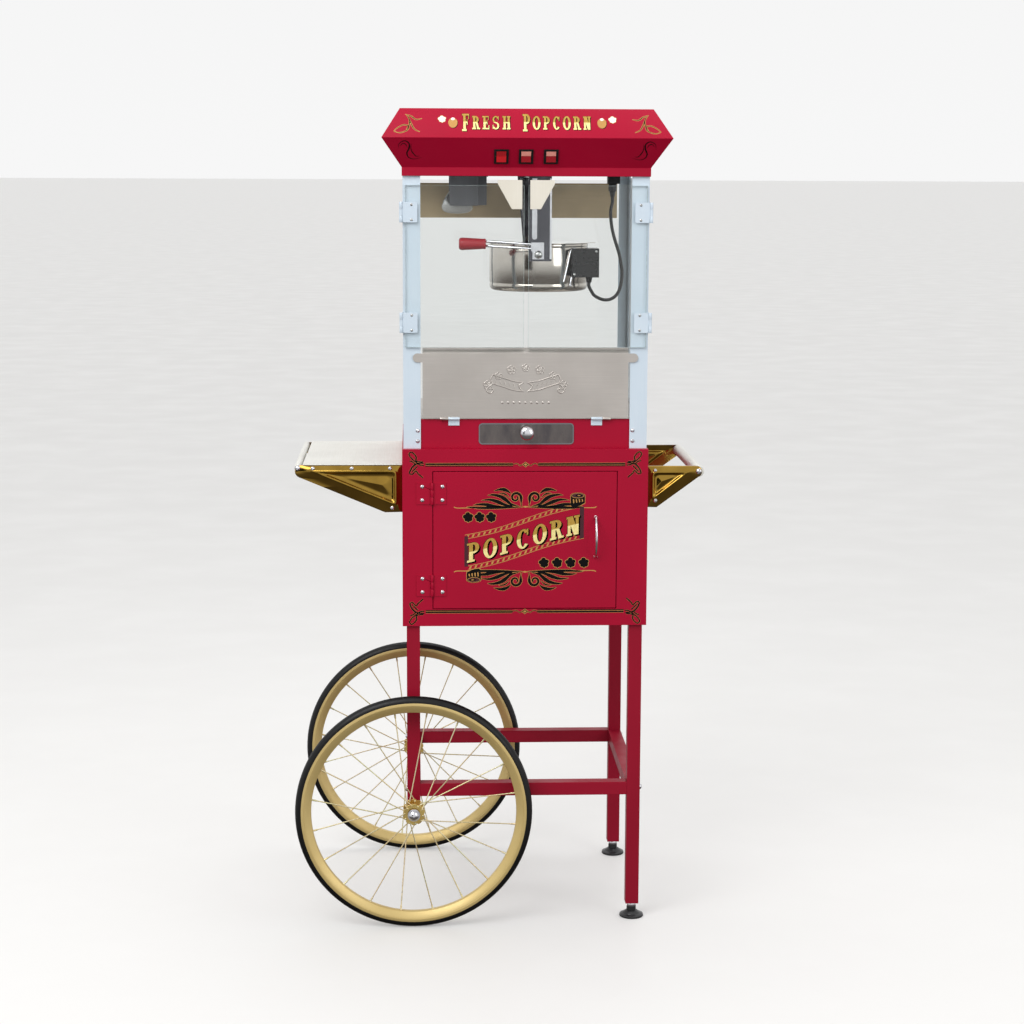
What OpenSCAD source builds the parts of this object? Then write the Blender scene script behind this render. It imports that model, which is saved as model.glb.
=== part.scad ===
// Popcorn cart: a popper with a glass cabin on a storage cabinet, two spoked wheels and two feet.
// Millimetres. X runs across the cart with the wheels at -X, Y from the front to the back, Z up.
// Every module is written about the middle of the cabinet's front face at floor level;
// in_place() then moves it so that the origin is under the middle of the whole cart.

/* [Cabinet] */
// Width of the storage cabinet
cab_w = 468; // [460:1:480]
// Depth of the storage cabinet
cab_d = 444; // [440:1:460]
// Height of the storage cabinet
cab_h = 341; // [335:1:350]
// Height of the cabinet's underside above the floor
cab_floor_z = 588; // [580:1:600]
// Width of the cabinet door
door_w = 350; // [340:1:354]
// Height of the cabinet door
door_h = 264; // [256:1:266]
// Thickness of the folded sheet metal
sheet = 1.5; // [1.2:0.1:1.6]

/* [Undercarriage] */
// Outside width of the square tube of the legs and rails
tube = 25.4; // [24:0.2:26]
// Wall thickness of the square tube
tube_wall = 1.6; // [1.2:0.1:2]
// Height of the lower rails' underside above the floor
rail_z = 250; // [244:1:300]
// Height of the foot-side legs' lower ends above the floor
leg_end_z = 28.8; // [28.8:0.1:32]
// Diameter of each levelling foot's pad
pad_d = 47; // [40:1:50]

/* [Wheels] */
// Outside diameter of each wheel over its tyre
wheel_d = 457.2; // [450:0.2:460]
// Thickness of the tyre's round section
tyre_d = 23; // [22.4:0.2:23.4]
// Spokes in each wheel, half on each flange of the hub
spoke_count = 20; // [16:4:24]
// Diameter of the axle
axle_d = 12.7; // [12:0.1:13]

/* [Popper] */
// Width over the outside of the corner posts
pop_w = 463; // [460:1:464]
// Depth over the outside of the corner posts
pop_d = 386; // [380:1:390]
// How far the posts stand behind the cabinet's front
pop_y = 14; // [13:0.5:16]
// Height of the red base under the cabin
base_h = 57.6; // [57:0.1:60]
// Height of the corner posts
post_h = 512; // [508:1:516]
// Width of the front posts
post_w = 33; // [30:1:34]
// Height of the canopy
canopy_h = 124; // [120:1:128]
// How far the canopy's ridge stands out beyond its lip
canopy_out = 37; // [34:1:38]

/* [Kettle] */
// Outside radius of the kettle's pot
pot_r = 97; // [92:1:98]
// Height of the kettle's pot
pot_h = 92; // [88:1:93]

/* [Shelf and handle] */
// How far the side shelf stands out from the cabinet
shelf_reach = 205; // [195:1:210]
// How far the push handle stands out from the cabinet
handle_reach = 111; // [105:1:115]

/* [Fits] */
// Radial clearance of every pin, shaft and axle that turns
running = 0.05; // [0.02:0.01:0.09]

/* [Hidden] */
$fn = 48;
thin = 1.2;

// the cabinet
half_w = cab_w / 2;
cab_top = cab_floor_z + cab_h;
door_x = -0.5;
door_z = cab_floor_z + 34;
door_gap = 1.2;
door_deep = 15;
door_left = door_x - door_w / 2;
hinge_z = [door_z + 24.5, door_z + door_h - 62];
hinge_h = 41.5;
hinge_r = 3;
hinge_pin_r = 1.5;
door_pin = [door_left - 2, -3.2];
pull_x = 135;
pull_z = [721, 799];

// the undercarriage
leg_x = half_w - 7.6 - tube / 2;
leg_y = [6 + tube / 2, cab_d - 6 - tube / 2];
rail_mid = rail_z + tube / 2;
foot_plug = 6;
foot_r = 5;

// the wheels
wheel_r = wheel_d / 2;
axle_z = wheel_r;
axle_r = axle_d / 2;
wheel_y = [-27, cab_d + 29];
hub_half = 22;
washer_t = 1.5;
nut_h = 9.2;
side_gap = 0.3;
tyre_mid = wheel_r - tyre_d / 2;
rim_r = tyre_mid + 0.1;
rim_half = 12;
flange_r = 21;
flange_z = 17;
spoke_hole_r = 17.5;
spoke_r = 1.15;
spoke_turn = 7.5;

// the middle of the whole cart, from its furthest points each way
mid_x = (half_w + handle_reach - leg_x - wheel_r) / 2;
mid_y = (wheel_y[0] + wheel_y[1]) / 2;

// the popper
half_p = pop_w / 2;
pop_back = pop_y + pop_d;
post_t = 3;
base_y = pop_y + post_t + 0.1;
base_back = pop_back - post_t - 0.1;
base_half = half_p - post_t - 0.1;
base_top = cab_top + base_h;
post_top = cab_top + post_h;
rear_post_w = 22;
glass_t = 3;
drawer_x = 2;
drawer_w = 181;
drawer_z = [cab_top + 7.6, cab_top + 48.2];
tunnel_x = [drawer_x - 83, drawer_x + 83];
tunnel_z = drawer_z[0] + 2;
tunnel_back = base_y + 262;
pane_t = 4;
pane_y = pop_y - 5;
pane_z = [cab_top + 192.5, cab_top + 495];
pane_half = half_p - 4.5;
pane_gap = 8.4;
glass_pin = [half_p + 3.5, pop_y - 6];
glass_hinge_z = [cab_top + 220, cab_top + 426];
glass_hinge_h = 38;
header_z = [cab_top + 428, cab_top + 498];
header_x = [-197.5, 205];

// the serving flap
flap_half = 195;
flap_pin = [pop_y - 2, base_top - 0.4];
flap_t = 1.2;
flap_z = [base_top + 2.4, base_top + 123.4];
flap_hem = [pop_y + 5.5, base_top + 134];
flap_knuckle_r = 2.8;
flap_pin_r = 1.25;
clip_x = 135.7;
clip_half = 10.5;

// the canopy: heights of its folds, and half widths and front and back edges of its lip
lip_h = 16;
canopy_z = [post_top, post_top + lip_h, post_top + lip_h + (canopy_h - lip_h) / 2, post_top + canopy_h];
lip_half = half_p + 1.5;
lip_y = [pop_y - 6, pop_back + 6];
fold_out = [0, 0, canopy_out, 3];
ceiling_z = post_top + sheet;
slope_angle = 180 - atan2(canopy_z[2] - canopy_z[1], canopy_out);
switch_x = [-48, -2, 44.4];
switch_w = 27;
switch_l = 31;
switch_mid = 0.38;
rocker_w = 18;
rocker_l = 22;
rocker_tip = 7;

// the kettle and its drive
kettle_at = [34, pop_y + 189];
pot_z = [cab_top + 291, cab_top + 291 + pot_h];
pot_t = 1.5;
pivot = [27, pot_z[0] + 73];
trunnion_r = 5;
arm_y = [98, 308];
arm_x = [9, 53];
arm_t = 3;
arm_end = pot_z[0] + 60;
hanger_t = 3;
hanger_hole_r = 10;
ceiling_hole_r = 8;
rod_r = 5;
crown_r = 9;
crown_z = post_top - 18;
tongue_half = 1.9;
slot_half = 2.2;
lid_r = 100;
lid_pin_x = 14;
lid_pin_r = 1.2;
lid_barrel_r = 2.4;
lid_half = 25;
lid_z = pot_z[1] + 0.3;
// how far the lid's cut-outs stand off its lugs, so that the plate's edge swings past their corners
lug_room = 1.6;
bridge_half = 11;
box_x = [93, 146];
box_y = [112, 168];
box_z = [pot_z[0] + 28.5, pot_z[0] + 84];
lead_r = 3.2;
// the kettle's lead, from its gland on the terminal box round and up to its plug
lead_route = [
    [128, 131, 1238], [128, 131, 1231], [132, 133, 1223], [138, 137, 1214], [147, 142, 1208],
    [158, 147, 1204], [169, 152, 1204], [179, 157, 1208], [187, 162, 1216], [192, 166, 1227],
    [195, 170, 1241], [196, 174, 1257], [194, 178, 1274], [191, 182, 1291], [186, 186, 1308],
    [181, 190, 1325], [177, 193, 1343], [175, 196, 1361], [175, 198, 1377], [178, 200, 1391],
    [178, 200, 1402]];
plug_z = [1402, 1427];

// the lamp
lamp_at = [-124, 285];
lamp_r = 31;
shield_x = [-140, -84];
shield_y = [245, 325];
shield_z = post_top - 58;

// the side shelf and the push handle
shelf_y = [22, 395];
shelf_z = cab_top - 31;
shelf_bar_r = 6.5;
shelf_bar = [-half_w - shelf_reach + shelf_bar_r, shelf_z - 6.6];
handle_y = [27, 369];
handle_bar_r = 10.5;
handle_z = cab_top - 36;
handle_bar = [half_w + handle_reach - handle_bar_r, handle_z - handle_bar_r];
bracket_t = 1.5;
bracket_flange = 13;
bracket_h = [91, 80];
bracket_foot = [33, 20];
bar_bolt_r = 3.1;

// ---- shared shapes ----

module in_place() translate([-mid_x, -mid_y, 0]) children();

// a box between its lowest and its highest corner
module slab(lo, hi) translate(lo) cube(hi - lo);

module rod_x(x0, x1, y, z, r) translate([x0, y, z]) rotate([0, 90, 0]) cylinder(h = x1 - x0, r = r);

module rod_y(x, y0, y1, z, r) translate([x, y0, z]) rotate([-90, 0, 0]) cylinder(h = y1 - y0, r = r);

module rod_z(x, y, z0, z1, r) translate([x, y, z0]) cylinder(h = z1 - z0, r = r);

// a round rod from one point to another
module strut(a, b, r) {
    run = b - a;
    translate(a) rotate([0, acos(run[2] / norm(run)), atan2(run[1], run[0])])
        cylinder(h = norm(run), r = r, $fn = 16);
}

// an outline in X and Z, drawn out along Y
module drawn_y(y0, y1, points) translate([0, y1, 0]) rotate([90, 0, 0])
    linear_extrude(y1 - y0) polygon(points);

// an outline in Y and Z, drawn out along X
module drawn_x(x0, x1, points) translate([x0, 0, 0]) rotate([90, 0, 90])
    linear_extrude(x1 - x0) polygon(points);

module both_sides() {
    children();
    mirror([1, 0, 0]) children();
}

// a round-headed screw with its head's seat at the origin and its shank down -Z
module screw(head_r, shank_r, shank_l) {
    intersection() {
        translate([0, 0, -head_r * 0.8]) sphere(r = head_r * 1.28);
        cylinder(h = head_r, r = head_r);
    }
    translate([0, 0, -shank_l]) cylinder(h = shank_l, r = shank_r);
}

// ---- undercarriage ----

module square_tube(x, y, z0, z1) difference() {
    slab([x - tube / 2, y - tube / 2, z0], [x + tube / 2, y + tube / 2, z1]);
    slab([x - tube / 2 + tube_wall, y - tube / 2 + tube_wall, z0 - 1],
        [x + tube / 2 - tube_wall, y + tube / 2 - tube_wall, z1 + 1]);
}

// where a bolt goes through each leg into the end of its front or rear rail
module rail_bolt_axes() for (side = [-1, 1], y = leg_y)
    translate([side * (leg_x + tube / 2), y, rail_mid]) rotate([0, side * 90, 0]) children();

module wheel_side_legs() color("crimson") in_place() difference() {
    for (y = leg_y) square_tube(-leg_x, y, axle_z - tube / 2, cab_floor_z);
    rod_y(-leg_x, leg_y[0] - tube, leg_y[1] + tube, axle_z, axle_r + running);
    rail_bolt_axes() translate([0, 0, -tube - 1]) cylinder(h = tube + 2, r = 3.1);
}

module foot_side_legs() color("crimson") in_place() difference() {
    for (y = leg_y) {
        square_tube(leg_x, y, leg_end_z, cab_floor_z);
        slab([leg_x - tube / 2 + 1, y - tube / 2 + 1, leg_end_z],
            [leg_x + tube / 2 - 1, y + tube / 2 - 1, leg_end_z + foot_plug]);
    }
    for (y = leg_y) rod_z(leg_x, y, leg_end_z - 1, leg_end_z + foot_plug + 1, foot_r + running);
    rail_bolt_axes() translate([0, 0, -tube - 1]) cylinder(h = tube + 2, r = 3.1);
}

module rail_x(y) translate([0, y, rail_mid]) rotate([0, 90, 0])
    square_tube(0, 0, tube / 2 - leg_x, leg_x - tube / 2);

module rail_y(x) translate([x, 0, rail_mid]) rotate([-90, 0, 0])
    square_tube(0, 0, leg_y[0] + tube / 2, leg_y[1] - tube / 2);

module lower_rails() color("crimson") in_place() {
    for (y = leg_y) rail_x(y);
    for (side = [-1, 1]) rail_y(side * leg_x);
}

module foot(y) {
    translate([leg_x, y, 0]) {
        rotate_extrude() polygon([[0, 0], [pad_d / 2 - 1, 0], [pad_d / 2, 2], [pad_d / 2, 6],
            [pad_d / 2 - 7, 9], [9, 12], [0, 12]]);
        translate([0, 0, 12]) cylinder(h = 7, r = 10, $fn = 6);
        cylinder(h = leg_end_z + foot_plug + 22, r = foot_r);
    }
}

module front_foot() color("dimgray") in_place() foot(leg_y[0]);

module rear_foot() color("dimgray") in_place() foot(leg_y[1]);

// ---- wheels ----

// the frame of one wheel: its axis along Z and the cart's front towards -Z
module on_axle(y) translate([-leg_x, y, axle_z]) rotate([-90, 0, 0]) children();

nut_face = hub_half + side_gap + washer_t;

module axle() color("silver") in_place()
    rod_y(-leg_x, wheel_y[0] - nut_face - 4, wheel_y[1] + nut_face + 4, axle_z, axle_r);

module washer() difference() {
    cylinder(h = washer_t, r = 12);
    translate([0, 0, -1]) cylinder(h = washer_t + 2, r = axle_r + running);
}

module cap_nut() difference() {
    union() {
        cylinder(h = 5, r = 11, $fn = 6);
        intersection() {
            translate([0, 0, -2.5]) sphere(r = 11.7);
            translate([0, 0, 4]) cylinder(h = nut_h, r = 9.3);
        }
    }
    translate([0, 0, -1]) cylinder(h = 6, r = axle_r + running);
}

module spacer(length) difference() {
    cylinder(h = length, r = 9.5);
    translate([0, 0, -1]) cylinder(h = length + 2, r = axle_r + running);
}

module axle_hardware() color("gainsboro") in_place() {
    for (end = [0, 1]) {
        out = end == 0 ? -1 : 1;
        on_axle(wheel_y[end]) mirror([0, 0, end == 0 ? 1 : 0]) {
            translate([0, 0, hub_half + side_gap]) washer();
            translate([0, 0, nut_face]) cap_nut();
        }
        leg_face = leg_y[end] + out * tube / 2;
        hub_face = wheel_y[end] - out * (hub_half + side_gap);
        translate([-leg_x, min(leg_face, hub_face), axle_z]) rotate([-90, 0, 0])
            spacer(abs(hub_face - leg_face));
    }
}

// a round tread that rests on the rim's edges, and a foot between them
module tyre() rotate_extrude($fn = 96) polygon(concat(
    [for (a = [-89 : 8.9 : 89]) [tyre_mid + tyre_d / 2 * cos(a), tyre_d / 2 * sin(a)]],
    [[rim_r + 0.1, 9.9], [rim_r - 8.7, 9.9], [rim_r - 8.7, -9.9], [rim_r + 0.1, -9.9]]));

module rim() rotate_extrude($fn = 96) polygon([
    [rim_r, rim_half], [rim_r, rim_half - 1.8], [rim_r - 9, rim_half - 1.8],
    [rim_r - 9, 1.8 - rim_half], [rim_r, 1.8 - rim_half], [rim_r, -rim_half],
    [rim_r - 11, -rim_half], [rim_r - 19.6, -6], [rim_r - 19.6, 6], [rim_r - 11, rim_half]
]);

// on each flange every other spoke leans forward and sits outside the flange, and the rest lean back
module spokes() for (side = [-1, 1], k = [0 : spoke_count / 2 - 1]) {
    lean = k % 2 == 0 ? 1 : -1;
    rim_a = spoke_turn + (2 * k + (side + 1) / 2) * 360 / spoke_count;
    hub_a = rim_a + 35 * lean;
    strut([spoke_hole_r * cos(hub_a), spoke_hole_r * sin(hub_a), side * (flange_z + 1.9 * lean)],
        [(rim_r - 18.2) * cos(rim_a), (rim_r - 18.2) * sin(rim_a), 0], spoke_r);
}

module hub() difference() {
    union() {
        translate([0, 0, -hub_half]) cylinder(h = 2 * hub_half, r = 10);
        for (side = [-1, 1]) translate([0, 0, side * flange_z - 1.5]) difference() {
            cylinder(h = 3, r = flange_r);
            for (k = [0 : 9]) rotate(k * 36 + 18) translate([flange_r + 1, 0, -1])
                cylinder(h = 5, r = 2.6);
        }
    }
    translate([0, 0, -hub_half - 1]) cylinder(h = 2 * hub_half + 2, r = axle_r + running);
}

module front_tyre() color("black") in_place() on_axle(wheel_y[0]) tyre();

module front_rim() color("goldenrod") in_place() on_axle(wheel_y[0]) rim();

module front_spokes() color("khaki") in_place() on_axle(wheel_y[0]) spokes();

module front_hub() color("goldenrod") in_place() on_axle(wheel_y[0]) hub();

module rear_tyre() color("black") in_place() on_axle(wheel_y[1]) tyre();

module rear_rim() color("goldenrod") in_place() on_axle(wheel_y[1]) rim();

module rear_spokes() color("khaki") in_place() on_axle(wheel_y[1]) spokes();

module rear_hub() color("goldenrod") in_place() on_axle(wheel_y[1]) hub();

// ---- cabinet ----

module cabinet_shell() color("crimson") in_place() difference() {
    slab([-half_w, sheet, cab_floor_z], [half_w, cab_d, cab_top]);
    slab([sheet - half_w, 0, cab_floor_z - 1], [half_w - sheet, cab_d - sheet, cab_top + 1]);
}

module cabinet_front_frame() color("crimson") in_place() difference() {
    union() {
        slab([-half_w, 0, cab_floor_z], [half_w, sheet, cab_top]);
        slab([door_left - door_gap - thin, sheet, door_z - door_gap - thin],
            [door_left + door_w + door_gap + thin, door_deep, door_z + door_h + door_gap + thin]);
    }
    slab([door_left - door_gap, -1, door_z - door_gap],
        [door_left + door_w + door_gap, door_deep + 1, door_z + door_h + door_gap]);
}

module cabinet_floor_and_top() color("crimson") in_place()
    for (z = [cab_floor_z, cab_top - sheet])
        slab([sheet - half_w, sheet, z], [half_w - sheet, cab_d - sheet, z + sheet]);

// a pan with folded edges
module cabinet_door() color("crimson") in_place() difference() {
    slab([door_left, 0, door_z], [door_left + door_w, door_deep, door_z + door_h]);
    slab([door_left + thin, thin, door_z + thin],
        [door_left + door_w - thin, door_deep + 1, door_z + door_h - thin]);
}

// a hinge's outer knuckles, or its middle one, bored for the pin
module knuckles(r, h, bore, middle) difference() {
    part = h / 3;
    for (z = middle ? [part] : [0, 2 * part])
        translate([0, 0, z + (middle ? 0.3 : 0)]) cylinder(h = part - (middle ? 0.6 : 0), r = r);
    translate([0, 0, -1]) cylinder(h = h + 2, r = bore);
}

module cabinet_frame_leaves() color("crimson") in_place() for (z = hinge_z)
    translate([door_pin[0], door_pin[1], z]) {
        knuckles(hinge_r, hinge_h, hinge_pin_r + running, false);
        difference() {
            slab([-30, 1.75, 0], [0, 3.15, hinge_h]);
            slab([-hinge_r - 0.5, 1, hinge_h / 3], [1, 4, hinge_h * 2 / 3]);
        }
    }

module cabinet_door_leaves() color("crimson") in_place() for (z = hinge_z)
    translate([door_pin[0], door_pin[1], z]) {
        knuckles(hinge_r, hinge_h, hinge_pin_r + running, true);
        slab([hinge_r + 0.4, 1.75, 0], [27, 3.2, hinge_h]);
        slab([0, 1.75, hinge_h / 3 + 0.3], [hinge_r + 1, 3.15, hinge_h * 2 / 3 - 0.3]);
    }

module hinge_pins() color("silver") in_place() {
    for (z = hinge_z) rod_z(door_pin[0], door_pin[1], z, z + hinge_h, hinge_pin_r);
    both_sides() {
        for (z = glass_hinge_z)
            rod_z(-glass_pin[0], glass_pin[1], z, z + glass_hinge_h, hinge_pin_r);
        rod_x(clip_x - clip_half, clip_x + clip_half + 16, flap_pin[0], flap_pin[1], flap_pin_r);
    }
}

// a bow of round wire, cut off at the door's face
module door_pull() color("gainsboro") in_place() {
    rise = 22;
    chord = (pull_z[1] - pull_z[0]) / 2;
    bow = (chord * chord + rise * rise) / (2 * rise);
    intersection() {
        translate([pull_x, bow - rise, (pull_z[0] + pull_z[1]) / 2]) rotate([0, 90, 0])
            rotate_extrude() translate([bow, 0]) circle(r = 2.5);
        slab([pull_x - 10, -rise - 10, pull_z[0] - 10], [pull_x + 10, 0, pull_z[1] + 10]);
    }
}

// ---- shelf and handle ----

// one stamped bracket: a flat web with a flange against the cabinet and one along its top, which
// ends at the bar; the bar is given by its distance from the cabinet, its height and its radius
module bracket(reach, h, foot, top, bar, inward) {
    tip = reach - 3;
    outline = [[0, top], [tip - 4, top], [tip, top - 4], [tip, top - 13], [foot, top - h], [0, top - h]];
    difference() {
        union() {
            drawn_y(0, bracket_t, outline);
            slab([0, min(0, inward), top - bracket_t], [bar[0] - bar[2] - 1, max(0, inward), top]);
            slab([0, min(0, inward), top - h], [bracket_t, max(0, inward), top]);
        }
        rod_y(bar[0], -1, bracket_t + 1, bar[1], bar_bolt_r);
    }
}

module shelf_bracket(y, inward) translate([-half_w, y, 0]) mirror([1, 0, 0])
    bracket(shelf_reach, bracket_h[0], bracket_foot[0], shelf_z - sheet,
        [-shelf_bar[0] - half_w, shelf_bar[1], shelf_bar_r], inward);

module handle_bracket(y, inward) translate([half_w, y, 0])
    bracket(handle_reach, bracket_h[1], bracket_foot[1], handle_z,
        [handle_bar[0] - half_w, handle_bar[1], handle_bar_r], inward);

module side_brackets() color("gold") in_place() {
    shelf_bracket(shelf_y[0], bracket_flange);
    shelf_bracket(shelf_y[1] - bracket_t, bracket_t - bracket_flange);
    handle_bracket(handle_y[0], bracket_flange);
    handle_bracket(handle_y[1] - bracket_t, bracket_t - bracket_flange);
}

// a folded plate that lies on the two brackets
module side_shelf() color("gainsboro") in_place() {
    lo = [-half_w - shelf_reach + 17, shelf_y[0] - 1, shelf_z - sheet];
    slab(lo, [-half_w, shelf_y[1] + 1, shelf_z]);
    slab([lo[0], shelf_y[0] + 16, shelf_z - 14], [lo[0] + sheet, shelf_y[1] - 16, shelf_z]);
}

// round bars between the tips of the brackets, each with a bolt through its ends
module cross_bars() color("gainsboro") in_place() {
    rod_y(shelf_bar[0], shelf_y[0] + bracket_t, shelf_y[1] - bracket_t, shelf_bar[1], shelf_bar_r);
    rod_y(handle_bar[0], handle_y[0] + bracket_t, handle_y[1] - bracket_t, handle_bar[1],
        handle_bar_r);
}

// ---- fasteners ----

module post_screw_axes() both_sides() for (z = [cab_top + 14.5, cab_top + 34.5]) {
    translate([204.5, pop_y, z]) rotate([90, 0, 0]) children();
    translate([half_p - rear_post_w / 2 - 3, pop_back, z]) rotate([-90, 0, 0]) children();
}

module machine_screws() color("silver") in_place() {
    post_screw_axes() screw(4, 1.9, 7);
    rail_bolt_axes() screw(6, 3, tube + 12);
    for (bar = [[shelf_bar, shelf_y], [handle_bar, handle_y]]) for (end = [0, 1])
        translate([bar[0][0], bar[1][end], bar[0][1]]) rotate([end == 0 ? 90 : -90, 0, 0])
            screw(5, 3, bracket_t);
}

// ---- popper base ----

module base_shell() color("crimson") in_place() difference() {
    union() {
        difference() {
            slab([-base_half, base_y, cab_top], [base_half, base_back, base_top - sheet]);
            slab([sheet - base_half, base_y + sheet, cab_top - 1],
                [base_half - sheet, base_back - sheet, base_top + 1]);
        }
        slab([tunnel_x[0] - thin, base_y + 0.5, tunnel_z - thin],
            [tunnel_x[1] + thin, tunnel_back + thin, base_top - sheet]);
    }
    slab([tunnel_x[0], base_y - 1, tunnel_z], [tunnel_x[1], tunnel_back, drawer_z[1] - 2]);
    slab([tunnel_x[0], base_y + sheet, tunnel_z], [tunnel_x[1], tunnel_back, base_top + 1]);
    post_screw_axes() translate([0, 0, -12]) cylinder(h = 14, r = 2);
    slab([-164, base_back - sheet - 1, cab_top + 16], [-136, base_back + 1, cab_top + 38]);
}

// rows of slots let the small bits fall into the drawer
module deck_plate() color("silver") in_place() difference() {
    slab([-base_half, base_y, base_top - sheet], [base_half, base_back, base_top]);
    for (column = [0 : 3], row = [0 : 9])
        translate([drawer_x - 66 + 36 * column, base_y + 30 + 22 * row, base_top - sheet - 1])
            cube([24, 7, sheet + 2]);
}

module kernel_drawer() color("dimgray") in_place() {
    difference() {
        slab([tunnel_x[0] + 1.5, base_y - 1, tunnel_z + 1],
            [tunnel_x[1] - 1.5, tunnel_back - 6, drawer_z[1] - 5]);
        slab([tunnel_x[0] + 1.5 + thin, base_y - 0.5, tunnel_z + 1 + thin],
            [tunnel_x[1] - 1.5 - thin, tunnel_back - 6 - thin, drawer_z[1]]);
    }
    translate([drawer_x, base_y - 0.3, (drawer_z[0] + drawer_z[1]) / 2]) rotate([90, 0, 0])
        linear_extrude(sheet) rounded(drawer_w, drawer_z[1] - drawer_z[0], 5);
}

// a rectangle about the origin with round corners
module rounded(w, h, r) union() {
    square([w - 2 * r, h], center = true);
    square([w, h - 2 * r], center = true);
    for (sx = [-1, 1], sy = [-1, 1]) translate([sx * (w / 2 - r), sy * (h / 2 - r)]) circle(r = r);
}

module drawer_knob() color("silver") in_place()
    translate([drawer_x + 0.4, base_y - 0.3 - sheet, cab_top + 30.7]) rotate([90, 0, 0])
        rotate_extrude() polygon([[0, 0], [9, 0], [9, 1.5], [5, 3.5], [5, 8], [10.5, 12], [13.5, 17],
            [12.5, 21], [7.5, 24], [0, 25]]);

// ---- popper cabin ----

module front_post() slab_pair(
    [half_p - post_w, pop_y, cab_top], [half_p, pop_y + post_t, post_top],
    [half_p - post_t, pop_y, cab_top], [half_p, pop_y + 25, post_top]);

module rear_post() slab_pair(
    [half_p - rear_post_w, pop_back - post_t, cab_top], [half_p, pop_back, post_top],
    [half_p - post_t, pop_back - 22, cab_top], [half_p, pop_back, post_top]);

module slab_pair(a0, a1, b0, b1) {
    slab(a0, a1);
    slab(b0, b1);
}

module corner_posts() color("aliceblue") in_place() difference() {
    both_sides() {
        front_post();
        rear_post();
    }
    post_screw_axes() translate([0, 0, -6]) cylinder(h = 8, r = 2);
}

module cabin_glass() color("lightcyan", 0.4) in_place() {
    both_sides() slab([base_half - glass_t, pop_y + 3.6, base_top],
        [base_half, base_back - glass_t - 1, post_top - 3]);
    slab([-base_half, base_back - glass_t - 0.4, base_top],
        [base_half, base_back - 0.4, header_z[1]]);
}

module rear_header() color("tan") in_place() {
    back = base_back - glass_t - 0.4;
    slab([header_x[0], back - thin, header_z[0]], [header_x[1], back, header_z[1]]);
    slab([header_x[0], back - 8, header_z[1] - thin], [header_x[1], back, header_z[1]]);
}

module pane() slab([-pane_half, pane_y, pane_z[0]], [-pane_gap / 2, pane_y + pane_t, pane_z[1]]);

// the two hinge leaves on the pane and the plate that the door is pulled by
module pane_fittings(plate) {
    for (z = glass_hinge_z) translate([-glass_pin[0], glass_pin[1], z]) {
        knuckles(hinge_r, glass_hinge_h, hinge_pin_r + running, true);
        slab([3.6, -0.5, 0], [31, 1, glass_hinge_h]);
        slab([1.8, -0.5, glass_hinge_h / 3 + 0.3], [4, 1, glass_hinge_h * 2 / 3 - 0.3]);
    }
    drawn_y(pane_y - sheet, pane_y, plate);
}

module left_glass_door() color("lightcyan", 0.4) in_place() pane();

module right_glass_door() color("lightcyan", 0.4) in_place() mirror([1, 0, 0]) pane();

plate_z = [pane_z[1] - 44, pane_z[1] + 10];

module left_door_fittings() color("linen") in_place()
    pane_fittings([[-54, plate_z[1]], [-8, plate_z[1]], [-8, plate_z[0]], [-27.5, plate_z[0]],
        [-54, plate_z[1] - 7]]);

module right_door_fittings() color("linen") in_place() mirror([1, 0, 0])
    pane_fittings([[-53, plate_z[1]], [-7, plate_z[1]], [-7, plate_z[0]], [-27, plate_z[0]],
        [-53, plate_z[1] - 7]]);

// the leaves of the glass doors' hinges on the posts, and the flap's clips on the base
module cabin_hinge_leaves() color("aliceblue") in_place() both_sides() {
    flap_clip();
    for (z = glass_hinge_z) translate([-glass_pin[0], glass_pin[1], z]) post_leaf();
}

module post_leaf() {
    knuckles(hinge_r, glass_hinge_h, hinge_pin_r + running, false);
    difference() {
        slab([1.9, 0, 0], [3.4, 22, glass_hinge_h]);
        slab([1, -1, glass_hinge_h / 3], [4, hinge_r + 0.6, glass_hinge_h * 2 / 3]);
    }
}

// ---- serving flap ----

module serving_flap() color("silver") in_place() {
    y = flap_pin[0] - flap_t / 2;
    knuckle_x = clip_x + clip_half + 0.5;
    difference() {
        union() {
            slab([-flap_half, y, base_top + 0.4], [flap_half, y + flap_t, flap_z[1]]);
            both_sides() {
                rod_x(knuckle_x, knuckle_x + 15.5, flap_pin[0], flap_pin[1], flap_knuckle_r);
                hull() for (x = [flap_half - 4, flap_half + 10])
                    translate([x, y + flap_t, flap_z[1] - 8.5]) rotate([90, 0, 0])
                        cylinder(h = flap_t, r = 8.4, $fn = 32);
            }
            drawn_x(-flap_half, flap_half, [[y, flap_z[1] - 0.5], [y + flap_t, flap_z[1] - 0.5],
                [flap_hem[0], flap_hem[1] - flap_t], [flap_hem[0], flap_hem[1]], [y, flap_z[1] + 0.5]]);
        }
        both_sides() {
            slab([clip_x - clip_half - 0.5, y - 1, base_top], [knuckle_x, y + 3, flap_z[0] + 2]);
            rod_x(clip_x, clip_x + 40, flap_pin[0], flap_pin[1], flap_pin_r + running);
        }
    }
}

// a clip that is screwed to the base and carries the flap's pin
module flap_clip() difference() {
    union() {
        rod_x(clip_x - clip_half, clip_x + clip_half, flap_pin[0], flap_pin[1], flap_knuckle_r);
        slab([clip_x - clip_half, base_y - sheet, cab_top + 44],
            [clip_x + clip_half, base_y, flap_pin[1] - 1]);
        slab([clip_x - clip_half, flap_pin[0] + 0.5, flap_pin[1] - flap_knuckle_r],
            [clip_x + clip_half, base_y, flap_pin[1] - 1]);
    }
    rod_x(clip_x - 20, clip_x + 20, flap_pin[0], flap_pin[1], flap_pin_r + running);
}

// ---- canopy ----

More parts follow.
